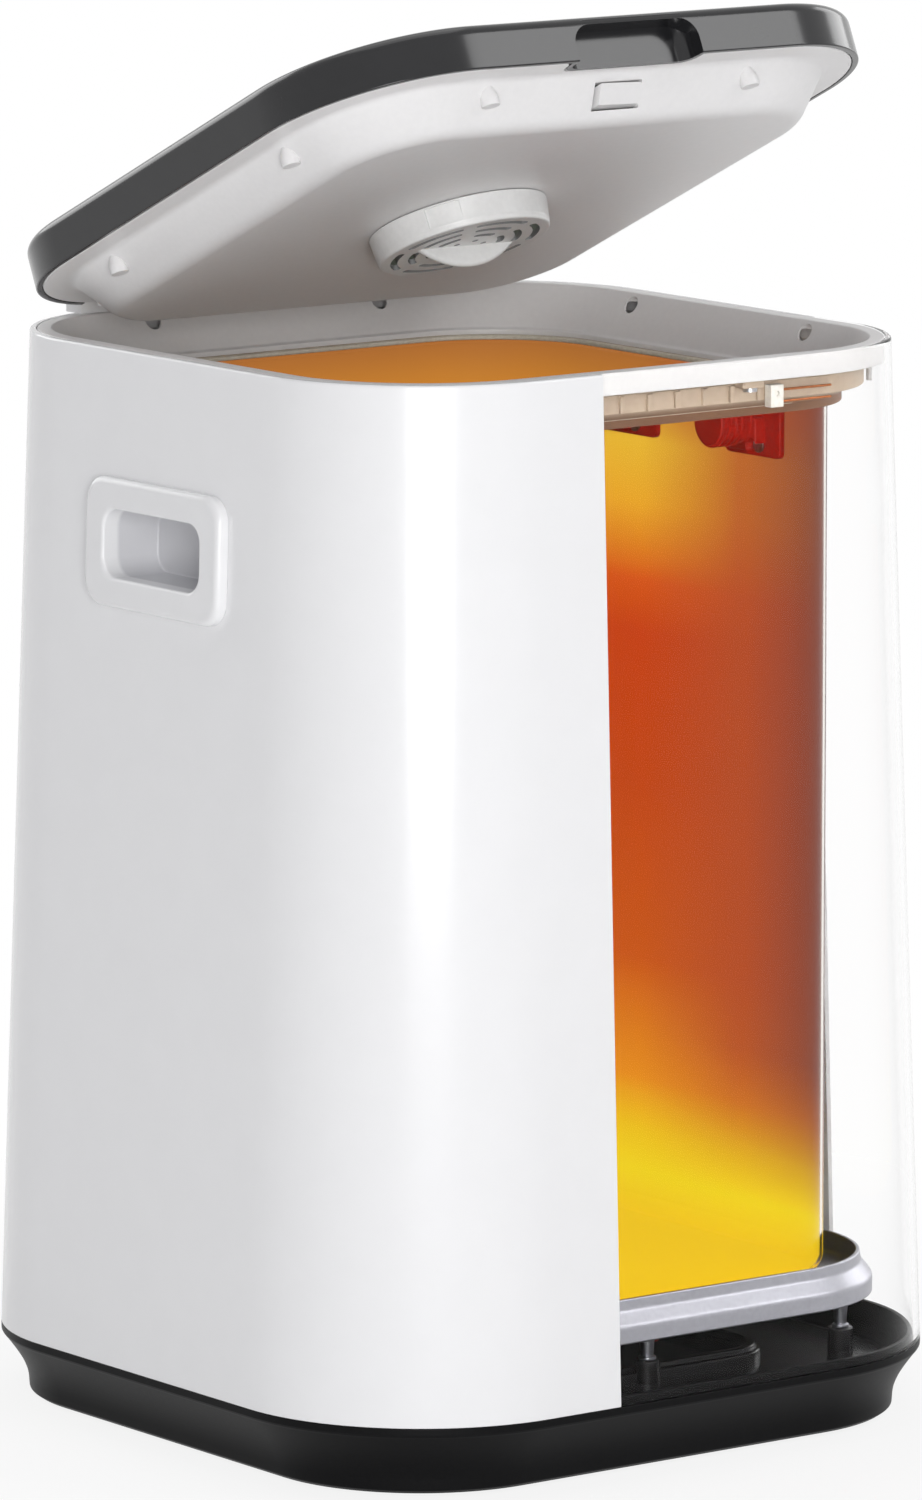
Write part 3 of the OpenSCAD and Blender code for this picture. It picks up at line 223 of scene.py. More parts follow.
switchWhite = finish("milkyPolycarbonate", "#efece4", "#e6e2d8", 0.25, 1, 0.05, 0.01)
copper = finish("tinnedCopper", "#b8734a", "#a0623c", 0.3, 0.6, 0.1, 0.01, Metallic=1.0)
panelBlack = finish("glossBlackPanel", "#0e0e10", "#0b0b0d", 0.08, 6, 0.02, 0.01, spread=0.01)
lensClear = finish("frostedLens", "#f2f2f0", "#e6e6e2", 0.2, 0.8, 0.05, 0.01)
nickel = finish("nickelPlate", "#b9b5ac", "#aaa69c", 0.18, 0.8, 0.05, 0.01, Metallic=1.0)
diffuserAbs = finish("satinDiffuserAbs", "#e2e2e1", "#dededd", 0.34, 1.2, 0.08, 0.01)
# Painted shade for the inner walls of the diffuser's grille slots
slotShade = finish("paintedSlotShade", "#8a8a8a", "#848484", 0.5, 1.2, 0.03, 0.01)
felt = finish("pressedFelt", "#7d8478", "#6c7268", 0.95, 0.7, 0.8, 0.2)
buttonSilver = finish("satinSilverAbs", "#c9cacc", "#c0c1c4", 0.25, 0.8, 0.08, 0.01, Metallic=0.8)


def clearPlastic(name, tint, bend):
    # polished clear acrylic, which shows only at its edges and where it turns away; bend is its IOR, set low
    # because the wall is a thin one
    material = bpy.data.materials.new(name)
    material.use_nodes = True
    tree = material.node_tree
    shader = tree.nodes["Principled BSDF"]
    shader.inputs["Base Color"].default_value = linear(tint)
    shader.inputs["Transmission Weight"].default_value = 1.0
    shader.inputs["IOR"].default_value = bend
    noise = grain(tree, 40)
    rough = addNode(tree, "MapRange", {"To Min": 0.0, "To Max": 0.02}, {"Value": noise.outputs["Fac"]})
    tree.links.new(rough.outputs["Result"], shader.inputs["Roughness"])
    return material


casingClear = clearPlastic("polishedAcrylic", "#ffffff", 1.12)
bucketClear = clearPlastic("polishedBucketGlass", "#fffaf4", 1.05)

nodeFinish = {
    "base_housing": baseSatin, "base_deck": baseSatin, "floor_plate": floorGloss,
    "floor_ring": floorGloss, "post_bosses": floorGloss, "cover_pillars": floorGloss,
    "bottom_cover": baseSatin, "tray_rim": castAluminium, "underframe_ledge": frameCream,
    "rubber_feet": rubber, "base_screws": zincSteel, "cord_gland": rubber,
    "heater_tray": castAluminium, "tray_posts": castAluminium, "heating_element": tubeSteel,
    "element_clips": zincSteel, "thermostat": ceramic, "thermal_fuse": ceramic,
    "fuse_strap": zincSteel, "control_board": boardGreen, "board_screws": zincSteel,
    "terminal_block": terminalBlack, "power_relay": relayBlue, "base_wiring": wireRed,
    "bucket_seal": sealSilicone, "probe_housings": probeRed, "probe_screws": zincSteel,
    "outer_casing": glossAbs, "casing_window": casingClear, "bucket_window": bucketClear,
    "grip_left": gripAbs, "grip_right": gripAbs, "top_collar": collarAbs,
    "collar_underframe": frameCream, "collar_screws": zincSteel, "lid_switch": switchWhite,
    "switch_leads": copper, "hinge_brackets": satinAbs, "hinge_screws": zincSteel,
    "hinge_pins": zincSteel, "lid_top_cover": lidGloss, "lid_inner_cover": satinAbs,
    "lid_hinge_arms": lidGloss, "arm_screws": zincSteel, "lid_board": boardGreen,
    "lid_board_screws": zincSteel, "control_panel": panelBlack, "indicator_lenses": lensClear,
    "lid_magnet": nickel, "diffuser_holder": satinAbs, "diffuser_cap": diffuserAbs,
    "fragrance_pad": felt, "power_button": buttonSilver, "timer_button": buttonSilver,
}

# Painted steel bucket with a painted glow: the colour ramp and its emission are painted light, brightest low down and
# in the middle
bucketPaintAndGlow = bpy.data.materials.new("paintedSteelWithPaintedGlow")
bucketPaintAndGlow.use_nodes = True
tree = bucketPaintAndGlow.node_tree
shader = tree.nodes["Principled BSDF"]
shader.inputs["Roughness"].default_value = 0.5
shader.inputs["Specular IOR Level"].default_value = 0.06
paths = addNode(tree, "LightPath")
straight = addNode(tree, "Math", {"operation": "MAXIMUM"},
                   {0: paths.outputs["Is Camera Ray"], 1: paths.outputs["Is Transmission Ray"]})
glowing = addNode(tree, "Math", {"operation": "MULTIPLY", 1: 0.84}, {0: straight.outputs[0]})
tree.links.new(glowing.outputs[0], shader.inputs["Emission Strength"])  # it glows for the eye and lights nothing
place = addNode(tree, "TexCoord")
axes = addNode(tree, "SeparateXYZ", {}, {0: place.outputs["Object"]})
height = addNode(tree, "MapRange", {"From Min": 0.054, "From Max": 0.396}, {"Value": axes.outputs["Z"]})
tint = addNode(tree, "ValToRGB", {}, {"Fac": height.outputs["Result"]})
ramp = tint.color_ramp
ramp.elements[0].position, ramp.elements[0].color = 0.0, linear("#fbd01e")
ramp.elements[1].position, ramp.elements[1].color = 1.0, linear("#ae6c34")
for position, colour in ((0.05, "#fde01e"), (0.1, "#f9cc1a"), (0.16, "#f0961a"), (0.3, "#d05c12"), (0.5, "#c84a0e"), (0.68, "#cc440b"),
                         (0.74, "#dc5a10"), (0.83, "#f2b028"), (0.9, "#f0c034"), (0.95, "#cc8432")):
    ramp.elements.new(position).color = linear(colour)
# Towards the front corner the colour goes darker in two steps, painted shade, except low down over the heater, where
# the painted glow stays bright
aboveBrightGlow = addNode(tree, "MapRange", {"From Min": 0.07, "From Max": 0.13}, {"Value": axes.outputs["Z"]})
paintedGlow = tint.outputs["Color"]
for start, end, most, colour in ((0.03, -0.03, 0.85, "#b4502a"), (-0.035, -0.09, 0.9, "#784840")):
    frontShade = addNode(tree, "MapRange", {"From Min": start, "From Max": end, "To Max": most}, {"Value": axes.outputs["Y"]})
    share = addNode(tree, "Math", {"operation": "MULTIPLY"}, {0: frontShade.outputs[0], 1: aboveBrightGlow.outputs[0]})
    edge = addNode(tree, "Mix", {"data_type": "RGBA"})
    edge.inputs[7].default_value = linear(colour)
    tree.links.new(share.outputs[0], edge.inputs[0])
    tree.links.new(paintedGlow, edge.inputs[6])
    paintedGlow = edge.outputs[2]
# the base colour is the same painted glow and shade ramp, darkened
paint = addNode(tree, "Mix", {"data_type": "RGBA", "blend_type": "MULTIPLY", 0: 1.0})
paint.inputs[7].default_value = linear("#848484")
tree.links.new(paintedGlow, paint.inputs[6])
tree.links.new(paint.outputs[2], shader.inputs["Base Color"])
tree.links.new(paintedGlow, shader.inputs["Emission Color"])


def paintedLightBand(material, axis, start, end, most, colour):
    # painted light and shade: the finish goes over to another colour between two places on an axis, taken without its
    # sign
    tree = material.node_tree
    shader = tree.nodes["Principled BSDF"]
    place = addNode(tree, "TexCoord")
    axes = addNode(tree, "SeparateXYZ", {}, {0: place.outputs["Object"]})
    size = addNode(tree, "Math", {"operation": "ABSOLUTE"}, {0: axes.outputs[axis]})
    share = addNode(tree, "MapRange", {"From Min": start, "From Max": end, "To Max": most}, {"Value": size.outputs[0]})
    tinted = addNode(tree, "Mix", {"data_type": "RGBA"})
    tinted.inputs[7].default_value = linear(colour)
    tree.links.new(share.outputs["Result"], tinted.inputs[0])
    tree.links.new(shader.inputs["Base Color"].links[0].from_socket, tinted.inputs[6])
    tree.links.new(tinted.outputs[2], shader.inputs["Base Color"])


paintedLightBand(frameCream, "Z", 0.3985, 0.3958, 0.9, "#70431f")  # painted glow and painted shade: a dark warm tint at its foot, down by the bucket's flange
paintedLightBand(gripAbs, "X", 0.1384, 0.1368, 1.0, "#d2d2d5")  # painted shade: the pockets go grey inside
nodeFinish["inner_bucket"] = nodeFinish["bucket_floor"] = nodeFinish["bucket_flange"] = bucketPaintAndGlow

for name, material in nodeFinish.items():
    mesh = nodes[name].data
    mesh.materials.clear()
    mesh.materials.append(material)
print("finishes set on", len(nodeFinish), "nodes")

# Surfaces, worked out in millimetres


def stations(legs, closed=True, turns=18):
    # Places round a rounded rectangle, counter-clockwise from above. A leg is a side (0 right, 1 back, 2 left,
    # 3 front) and the places along it, and a quarter turn follows it: point = (half - radius) w + radius n + f.
    w, n, f = [], [], []
    for index, (side, places) in enumerate(legs):
        out = np.array([math.cos(side * math.pi / 2), math.sin(side * math.pi / 2)])
        along = np.array([-out[1], out[0]])
        w.append(np.tile(out, (len(places), 1)))
        n.append(np.tile(out, (len(places), 1)))
        f.append(np.outer(places, along))
        if closed or index < len(legs) - 1:
            turn = np.linspace(0, math.pi / 2, turns + 1)
            w.append(np.tile(out + along, (turns + 1, 1)))
            n.append(np.outer(np.cos(turn), out) + np.outer(np.sin(turn), along))
            f.append(np.zeros((turns + 1, 2)))
    return np.concatenate(w), np.concatenate(n), np.concatenate(f)


def circle(count):
    # places round a circle: point = radius n
    turn = np.arange(count) * 2 * math.pi / count
    n = np.stack([np.cos(turn), np.sin(turn)], axis=1)
    return n * 0, n, n * 0


def profile(points, closed=False, steps=6, hold=0.5):
    # Rows (half x, half y, radius, z) through corners (half x, half y, radius, z, fillet). A fillet is
    # ((1-t)^2 a + 2t(1-t) k p + t^2 b) / ((1-t)^2 + 2t(1-t) k + t^2), a true arc where k is the cosine of half
    # the turn. Long legs get a row just inside each end, so that broad faces shade flat.
    points = np.array(points, float)
    count = len(points)
    rows = []
    for i, point in enumerate(points):
        here, fillet = point[:4], point[4]
        if fillet == 0 or (not closed and i in (0, count - 1)):
            rows.append(here[None])
            continue
        a, b = points[i - 1, :4] - here, points[(i + 1) % count, :4] - here
        la, lb = math.hypot(a[0], a[3]), math.hypot(b[0], b[3])
        turn = math.pi - math.acos(np.clip((a[0] * b[0] + a[3] * b[3]) / (la * lb), -1, 1))
        reach = min(fillet * math.tan(turn / 2), 0.48 * la, 0.48 * lb)
        t, k = np.linspace(0, 1, steps + 1)[:, None], math.cos(turn / 2)
        first, middle, last = (1 - t) ** 2, 2 * t * (1 - t) * k, t ** 2
        arc = first * (here + a * reach / la) + middle * here + last * (here + b * reach / lb)
        rows.append(arc / (first + middle + last))
    rows = np.concatenate(rows)
    held = []
    for i, row in enumerate(rows):
        held.append(row)
        if closed or i < len(rows) - 1:
            step = rows[(i + 1) % len(rows)] - row
            length = math.hypot(step[0], step[3])
            if length > 4 * hold:
                held += [row + step * hold / length, row + step * (1 - hold / length)]
    return np.array(held)


def even(half, centre, z, fillet=0.0):
    # a profile corner of equal sides, from its half width and the place of its corner's centre
    return half, half, half - centre, z, fillet


def sweep(rows, places):
    # a grid with a row for each profile row and a column for each place
    w, n, f = places
    half, radius = rows[:, None, 0:2], rows[:, None, 2:3]
    flat = (half - radius) * w + radius * n + f
    return np.concatenate([flat, np.broadcast_to(rows[:, None, 3:4], (*flat.shape[:2], 1))], axis=2)


def surface(grid, caps=(), wrapRows=False, wrapColumns=True):
    # Quads that face out where rows go up the outside and columns counter-clockwise. Caps close the grid at
    # its first or last row, or at its start or end column.
    index = np.arange(grid.shape[0] * grid.shape[1]).reshape(grid.shape[:2])
    below, above = (index, np.roll(index, -1, 0)) if wrapRows else (index[:-1], index[1:])
    corners = []
    for block, shift in ((below, 0), (below, 1), (above, 1), (above, 0)):
        moved = np.roll(block, -shift, 1)
        corners.append(moved if wrapColumns else moved[:, :-1])
    ends = {"first": index[0, ::-1], "last": index[-1], "start": index[:, 0], "end": index[::-1, -1]}
    faces = np.stack(corners, axis=2).reshape(-1, 4).tolist()
    return grid.reshape(-1, 3), faces + [ends[cap].tolist() for cap in caps]


def placed(part, move=Matrix(), mirrored=False):
    # a surface moved by a matrix, and after that mirrored left to right if asked
    points, faces = part
    turn = np.array(move)
    points = points @ turn[:3, :3].T + turn[:3, 3]
    if mirrored:
        return points * (-1, 1, 1), [face[::-1] for face in faces]
    return points, faces


def shape(name, *parts):
    # one mesh object of several surfaces
    starts = np.cumsum([0] + [len(points) for points, _ in parts])
    faces = [[k + start for k in face] for (_, theirs), start in zip(parts, starts) for face in theirs]
    mesh = bpy.data.meshes.new(name)
    mesh.from_pydata(np.concatenate([points for points, _ in parts]).tolist(), [], faces)
    piece = bpy.data.objects.new(name, mesh)
    scene.collection.objects.link(piece)
    return piece


def settle(piece):
    # the piece's modifiers become its mesh
    bpy.context.view_layer.update()
    mesh = bpy.data.meshes.new_from_object(piece.evaluated_get(bpy.context.evaluated_depsgraph_get()))
    piece.modifiers.clear()
    piece.data = mesh


def combine(piece, operation, *parts):
    # joins the parts to the piece, cuts them from it, or keeps only what is inside them
    tool = shape("tool", *parts)
    change = piece.modifiers.new("combine", "BOOLEAN")
    change.object, change.operation, change.solver = tool, operation, "EXACT"
    settle(piece)
    bpy.data.objects.remove(tool)


def tube(radius, low, high, edge=0.3, count=48):
    # a round rod along z with its two edges rounded
    inside = max(radius - 3 * edge, radius * 0.3)
    rows = profile([(inside, inside, inside, low, 0), (radius, radius, radius, low, edge),
                    (radius, radius, radius, high, edge), (inside, inside, inside, high, 0)], steps=4, hold=0.2)
    return surface(sweep(rows, circle(count)), ("first", "last"))


def slab(size, radius, low, high, edge=0.3, turns=6):
    # a rounded rectangle with a thickness, its two edges rounded
    x, y = size[0] / 2, size[1] / 2
    inset = min(3 * edge, radius * 0.7)
    inner = (x - inset, y - inset, radius - inset)
    rows = profile([(*inner, low, 0), (x, y, radius, low, edge), (x, y, radius, high, edge),
                    (*inner, high, 0)], steps=4, hold=0.2)
    return surface(sweep(rows, stations([(side, []) for side in range(4)], turns=turns)), ("first", "last"))


def box(low, high):
    # a plain box between two corners, for cutting
    size, middle = np.subtract(high, low), np.add(high, low) / 2
    corners = np.array([[-1, -1], [1, -1], [1, 1], [-1, 1]]) / 2
    grid = np.stack([np.column_stack([corners * size[:2] + middle[:2], np.full(4, z)]) for z in (low[2], high[2])])
    return surface(grid, ("first", "last"))


hinge = next(joint for joint in frame["joints"] if joint["name"] == "lid_hinge")
hingeBack, hingeHeight = hinge["pos_m"][1] * 1000, hinge["pos_m"][2] * 1000
lidFoot = 418.0  # height of the closed lid's lower edge, which is 0 in the lid's own measures
lidSwing = (Matrix.Translation((0, hingeBack, hingeHeight))
            @ Matrix.Rotation(math.radians(hinge["range_deg"][0]), 4, "X")
            @ Matrix.Translation((0, -hingeBack, lidFoot - hingeHeight)))
bodyOf = {node: body for body, members in frame["record"]["behaviour"]["bodies"].items() for node in members}


def dress(piece, material, *replaced, sharp=32):
    body = bodyOf[replaced[0]]
    piece.data.transform(Matrix.Scale(0.001, 4) @ (lidSwing if body != "warmer" else Matrix()))
    piece.data.polygons.foreach_set("use_smooth", [True] * len(piece.data.polygons))
    piece.data.set_sharp_from_angle(angle=math.radians(sharp))
    piece.data.materials.clear()
    piece.data.materials.append(material)
    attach(piece, body)
    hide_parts(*replaced)
    return piece


# Casing

casing = {
    "foot": (150.0, 80.0, 28.5),  # half width, corner radius and height at the foot
    "top": (137.4, 70.0, 416.5),
    "wall": 2.5,
    "edge": 1.0,
    "clearFrom": -36.5,  # the clear section starts here on the front and ends at clearTo on the right
    "clearTo": -46.0,
}
grip = {
    "height": 344.0, "length": 87.0, "bezel": 49.0, "proud": 5.0, "opening": 62.0, "mouth": 26.0,
    "depth": 20.5, "wall": 1.6, "softEdge": 2.8,
}


def casingAt(z, inset=0.0, fillet=0.0):
    # straight from the foot to the top: half = foot half + share of the way up * (top half - foot half)
    (h0, r0, z0), (h1, r1, z1) = casing["foot"], casing["top"]
    share = (z - z0) / (z1 - z0)
    half, radius = h0 + share * (h1 - h0) - inset, r0 + share * (r1 - r0) - inset
    return half, half, radius, z, fillet


casingTilt = math.atan2(casing["foot"][0] - casing["top"][0], casing["top"][2] - casing["foot"][2])
onWall = (Matrix.Translation((casingAt(grip["height"])[0], 0, grip["height"]))
          @ Matrix.Rotation(math.pi / 2 - casingTilt, 4, "Y"))
gripLow, gripHigh = grip["height"] - 24, grip["height"] + 24
casingRows = profile([
    casingAt(casing["foot"][2], 0, 0.4), casingAt(gripLow), casingAt(gripHigh),
    casingAt(casing["top"][2], 0, casing["edge"]), casingAt(casing["top"][2], casing["wall"], 0.4),
    casingAt(gripHigh, casing["wall"]), casingAt(gripLow, casing["wall"]),
    casingAt(casing["foot"][2], casing["wall"], 0.3)], closed=True)
grid = sweep(casingRows, stations([(0, [casing["clearTo"], 45, 60]), (1, [-60, 60]), (2, [-60, -45, 45, 60]),
                                   (3, [-60, casing["clearFrom"]])], closed=False, turns=28))
outerCasing = shape("casing", surface(grid, ("start", "end"), True, False))
gripHole = slab((grip["mouth"] + 5, grip["opening"] + 5), 9.8, -15, 15)
combine(outerCasing, "DIFFERENCE", placed(gripHole, onWall), placed(gripHole, onWall, True))
dress(outerCasing, glossAbs, "outer_casing")
grid = sweep(casingRows, stations([(3, [casing["clearFrom"] + 0.15, 60]), (0, [-60, casing["clearTo"] - 0.15])],
                                  closed=False, turns=28))
dress(shape("clearSection", surface(grid, ("start", "end"), True, False)), casingClear, "casing_window")

a, b, c, d = (grip[key] / 2 for key in ("bezel", "length", "mouth", "opening"))
wall, proud, depth = grip["wall"], grip["proud"], grip["depth"]
gripRows = profile([
    (c - 4, d - 4, 4, -depth - wall, 0), (c + wall - 0.6, d + wall - 0.6, 8, -depth - wall, 2),
    (c + wall, d + wall, 9, 0, 0), (a, b, 10, 0, 0.5), (a, b, 10, proud, grip["softEdge"]),
    (c, d, 8, proud, 1.4), (c - 0.6, d - 0.6, 7.4, -depth, 0.8), (c - 4, d - 4, 4, -depth, 0)], steps=8)
gripSkin = surface(sweep(gripRows, stations([(side, []) for side in range(4)], turns=12)), ("first", "last"))
dress(shape("gripRight", placed(gripSkin, onWall)), gripAbs, "grip_right")
dress(shape("gripLeft", placed(gripSkin, onWall, True)), gripAbs, "grip_left")
print("casing and grips made")

# Base

base = {
    "lip": (150.0, 25.8, 28.5),  # half width, lower and upper edge of the upright lip
    "flareTop": 149.4, "flareIn": 11.0, "flareFrom": 25.0, "flareDrop": 21.0, "foot": 1.0, "wall": 2.8,
    "centreFoot": 73.0, "centreLip": 70.0,
    "gland": (-60.0, 9.55, 5.25),  # x, z and radius of the hole at the back
}


def flare(z):
    # a quarter of a sine wave: half = flareTop - flareIn * sin(90 degrees * share of the way down)
    return base["flareTop"] - base["flareIn"] * math.sin(math.pi / 2 * min(1, (base["flareFrom"] - z) / base["flareDrop"]))


def baseAt(half, z, fillet=0.0):
    # the corner centre drifts from its place at the foot to its place at the lip
    share = min(1, z / base["lip"][1])
    return even(half, base["centreFoot"] + share * (base["centreLip"] - base["centreFoot"]), z, fillet)


lip, lipLow, lipHigh = base["lip"]
flareSteps = [baseAt(flare(z), z) for z in np.linspace(5, base["flareFrom"] - 0.6, 18)]
baseRows = profile(
    [baseAt(flare(1) - 2.4, 1, 0.3), baseAt(flare(1) - 0.3, 2.4, 1.2)] + flareSteps
    + [baseAt(base["flareTop"] + 0.1, base["flareFrom"], 0.5), baseAt(lip, lipLow, 0.4), baseAt(lip, lipHigh, 0.5),
       baseAt(147.2, lipHigh, 0.1), baseAt(147.1, 31.5, 0.3), baseAt(145, 31.5, 0.4), baseAt(144.6, 22, 3),
       baseAt(142.6, 17.5, 2), baseAt(128, 17.5, 0.2), baseAt(128, 15.5, 0.2), baseAt(flare(15.5) - 2.8, 15.5, 1),
       baseAt(flare(10) - 2.8, 10), baseAt(flare(4) - 2.8, 4, 0.3), baseAt(133, 3.8, 0.3), baseAt(133, 1, 0.3)],
    closed=True, hold=0.3)
places = stations([(side, [-60, 0, 60]) for side in range(4)], turns=28)
baseShell = shape("baseShell", surface(sweep(baseRows, places), wrapRows=True))
x, z, radius = base["gland"]
glandHole = placed(tube(radius, -12, 12), Matrix.Translation((x, 140, z)) @ Matrix.Rotation(math.pi / 2, 4, "X"))
combine(baseShell, "DIFFERENCE", glandHole)
dress(baseShell, baseSatin, "base_housing", "base_deck")

floorPlan = {"half": 135.0, "centre": 73.0, "low": 17.5, "high": 19.5, "wireHole": 5.0, "wireX": 98.0 / 3}
rows = profile([even(120, 73, 17.5), even(135, 73, 17.5, 0.3), even(135, 73, 19.5, 0.5), even(120, 73, 19.5)])
floorPlate = shape("floorPlate", surface(sweep(rows, places), ("first", "last")))
for side in (-1, 1):
    hole = placed(tube(floorPlan["wireHole"], 10, 30), Matrix.Translation((side * floorPlan["wireX"], 0, 0)))
    combine(floorPlate, "DIFFERENCE", hole)
dress(floorPlate, floorGloss, "floor_plate")

rows = profile([even(90, 66, 19.5, 0), even(90, 66, 23.5, 1.2), even(88, 66, 23.5, 0.8), even(88, 66, 25.5, 0.9),
                even(84, 66, 25.5, 0.9), even(84, 66, 23.5, 0.8), even(82, 66, 23.5, 1.2), even(82, 66, 19.5, 0)],
               closed=True, hold=0.4)
ringPlaces = stations([(side, [-50, 0, 50]) for side in range(4)], turns=14)
posts = [(x, y) for x in (-117, -22, 22, 117) for y in (-90, 90)]
floorRing = shape("floorRing", surface(sweep(rows, ringPlaces), wrapRows=True))
combine(floorRing, "DIFFERENCE", *[placed(tube(5.15, 18, 30), Matrix.Translation((x, y, 0))) for x, y in posts])
dress(floorRing, floorGloss, "floor_ring")


def lathe(points, count=48, **options):
    # a turned shape from (radius, z, fillet) corners, first to last up its outside
    rows = profile([(r, r, r, z, fillet) for r, z, fillet in points], **options)
    return surface(sweep(rows, circle(count)), () if options.get("closed") else ("first", "last"))


postBoss = lathe([(4, 19.5, 0), (5.15, 19.5, 0), (5.15, 28.5, 0.8), (2.45, 28.5, 0.3), (2.45, 20.5, 0), (1, 20.5, 0)],
                 32, steps=4, hold=0.3)
postPin = lathe([(1, 21, 0), (2.4, 21, 0.2), (2.4, 28.5, 0), (3.4, 28.5, 0.2), (3.4, 29.7, 0.4), (2.45, 29.7, 0.2),
                 (2.5, 31, 0), (3.95, 50, 0), (2.4, 50, 0), (2.4, 51.7, 0.2), (1, 51.7, 0)], 32, steps=4, hold=0.3)
atPosts = [Matrix.Translation((x, y, 0)) for x, y in posts]
dress(shape("postBosses", *[placed(postBoss, place) for place in atPosts]), floorGloss, "post_bosses")
dress(shape("trayPosts", *[placed(postPin, place) for place in atPosts]), castAluminium, "tray_posts")
print("base made")

# Heater tray and bucket

tray = {
    "centre": 74.0, "skirt": 129.8, "lip": 2.4, "wall": 124.8, "sheet": 1.6, "foot": 46.4, "under": 50.0,
    "floor": 54.0, "shoulder": 53.0, "step": 58.4, "rim": 62.6,
}
c, s, w, t = tray["centre"], tray["skirt"], tray["wall"], tray["sheet"]
rows = profile([
    even(s - 12, c, tray["under"]), even(s - tray["lip"], c, tray["under"], 0.8), even(s - tray["lip"], c, tray["foot"], 0.3),
    even(s, c, tray["foot"], 0.7), even(s, c, tray["shoulder"], 3.4), even(w + 0.6, c, tray["step"], 3),
    even(w, c, tray["rim"], 0.7), even(w - t, c, tray["rim"], 0.5), even(w - t, c, tray["floor"], 1.6),
    even(110, c, tray["floor"])])
trayPlaces = stations([(side, [-60, 0, 60]) for side in range(4)], turns=24)
heaterTray = shape("heaterTray", surface(sweep(rows, trayPlaces), ("first", "last")))
combine(heaterTray, "DIFFERENCE", *[placed(tube(2.45, 49, 52), place) for place in atPosts])
dress(heaterTray, castAluminium, "heater_tray", "tray_rim")

bucket = {"half": 113.0, "centre": 68.0, "sheet": 1.2, "floor": 54.0, "flange": 117.5, "top": 395.5, "bend": 7.0}
h, c, s = bucket["half"], bucket["centre"], bucket["sheet"]
bucketRows = profile([
    even(90, c, 54), even(h, c, 54, bucket["bend"]), even(h, c, 394.3, 0.4), even(117.5, c, 394.3, 0.3),
    even(117.5, c, 395.5, 0.3), even(h - s, c, 395.5, 1.2), even(h - s, c, 54 + s, bucket["bend"] - s),
    even(90, c, 54 + s)], steps=8)
bucketPlaces = stations([(side, [-60, 0, 60]) for side in range(4)], turns=24)
bucketSkin = surface(sweep(bucketRows, bucketPlaces), ("first", "last"))
clearSpace = box((casing["clearFrom"], -400, 57.2), (400, -95, 392.3))
innerBucket = shape("bucket", bucketSkin)
combine(innerBucket, "DIFFERENCE", clearSpace)
bucketWindow = shape("bucketFront", bucketSkin)
combine(bucketWindow, "INTERSECT", clearSpace)
dress(innerBucket, bucketPaintAndGlow, "inner_bucket", "bucket_floor", "bucket_flange")
dress(bucketWindow, bucketClear, "bucket_window")

rows = profile([even(113.6, 68, 395.5, 0.4), even(117.7, 68, 395.5, 0.4), even(117.7, 68, 397.2, 0.6),
                even(113.6, 68, 397.2, 0.6)], closed=True, hold=0.3)
dress(shape("seal", surface(sweep(rows, bucketPlaces), wrapRows=True)), sealSilicone, "bucket_seal")
print("tray and bucket made")

# Collar

collar = {
    "mouth": 127.5, "centre": 70.4, "throat": 116.5, "low": 397.2, "high": 416.5, "wall": 2.3, "skirt": 408.0,
    "skirtCentre": 67.4, "dimpleAt": 54.5,
}
m, c, t = collar["mouth"], collar["centre"], collar["throat"]
low, high = collar["low"], collar["high"]
skirtEnd, k = collar["skirt"], collar["skirtCentre"]
skirtLow, skirtHigh = casingAt(skirtEnd)[0] - 2.8, casingAt(high)[0] - 2.8
collarRows = profile([
    even(t, c - 1, low, 0.3), even(t + 2.3, c - 1, low, 0.4), even(t + 3.3, c - 0.5, low + 2.3, 0.5),
    even(m - 1.2, c, high - 3.6, 0.8), even(skirtLow - 2.3, k, high - 2.6, 1.2), even(skirtLow - 2.3, k, skirtEnd, 0.3),
    even(skirtLow, k, skirtEnd, 0.3), even(skirtHigh, k, high, 0.6), even(m + 0.4, c, high, 1.1),
    even(t + 1.6, c - 0.5, low + 2.6, 1.6), even(t, c - 1, low + 2.0, 0.6)], closed=True, steps=5)
collarPlaces = stations([(side, [-64, -30, 0, 30, 64]) for side in range(4)], turns=24)
topCollar = shape("collar", surface(sweep(collarRows, collarPlaces), wrapRows=True))
dimples = []
for quarter in range(4):
    for side in (-1, 1):
        dimples.append(placed(lathe([(0.4, -1.3, 0), (3.1, -1.3, 1.2), (4.6, 2.5, 0), (0.5, 2.5, 0)], 32),
                              Matrix.Rotation(quarter * math.pi / 2, 4, "Z")
                              @ Matrix.Translation((side * collar["dimpleAt"], m - 2.1, high - 4.6))
                              @ Matrix.Rotation(math.radians(60), 4, "X")))
combine(topCollar, "DIFFERENCE", *dimples)
peg = {"at": (128.3, -91.0), "radius": 1.3, "low": 397.0}  # a moulded peg under the rim, near the front corner
combine(topCollar, "UNION", placed(tube(peg["radius"], peg["low"], high - 2, 0.3, 24), Matrix.Translation((*peg["at"], 0))))
dress(topCollar, collarAbs, "top_collar")

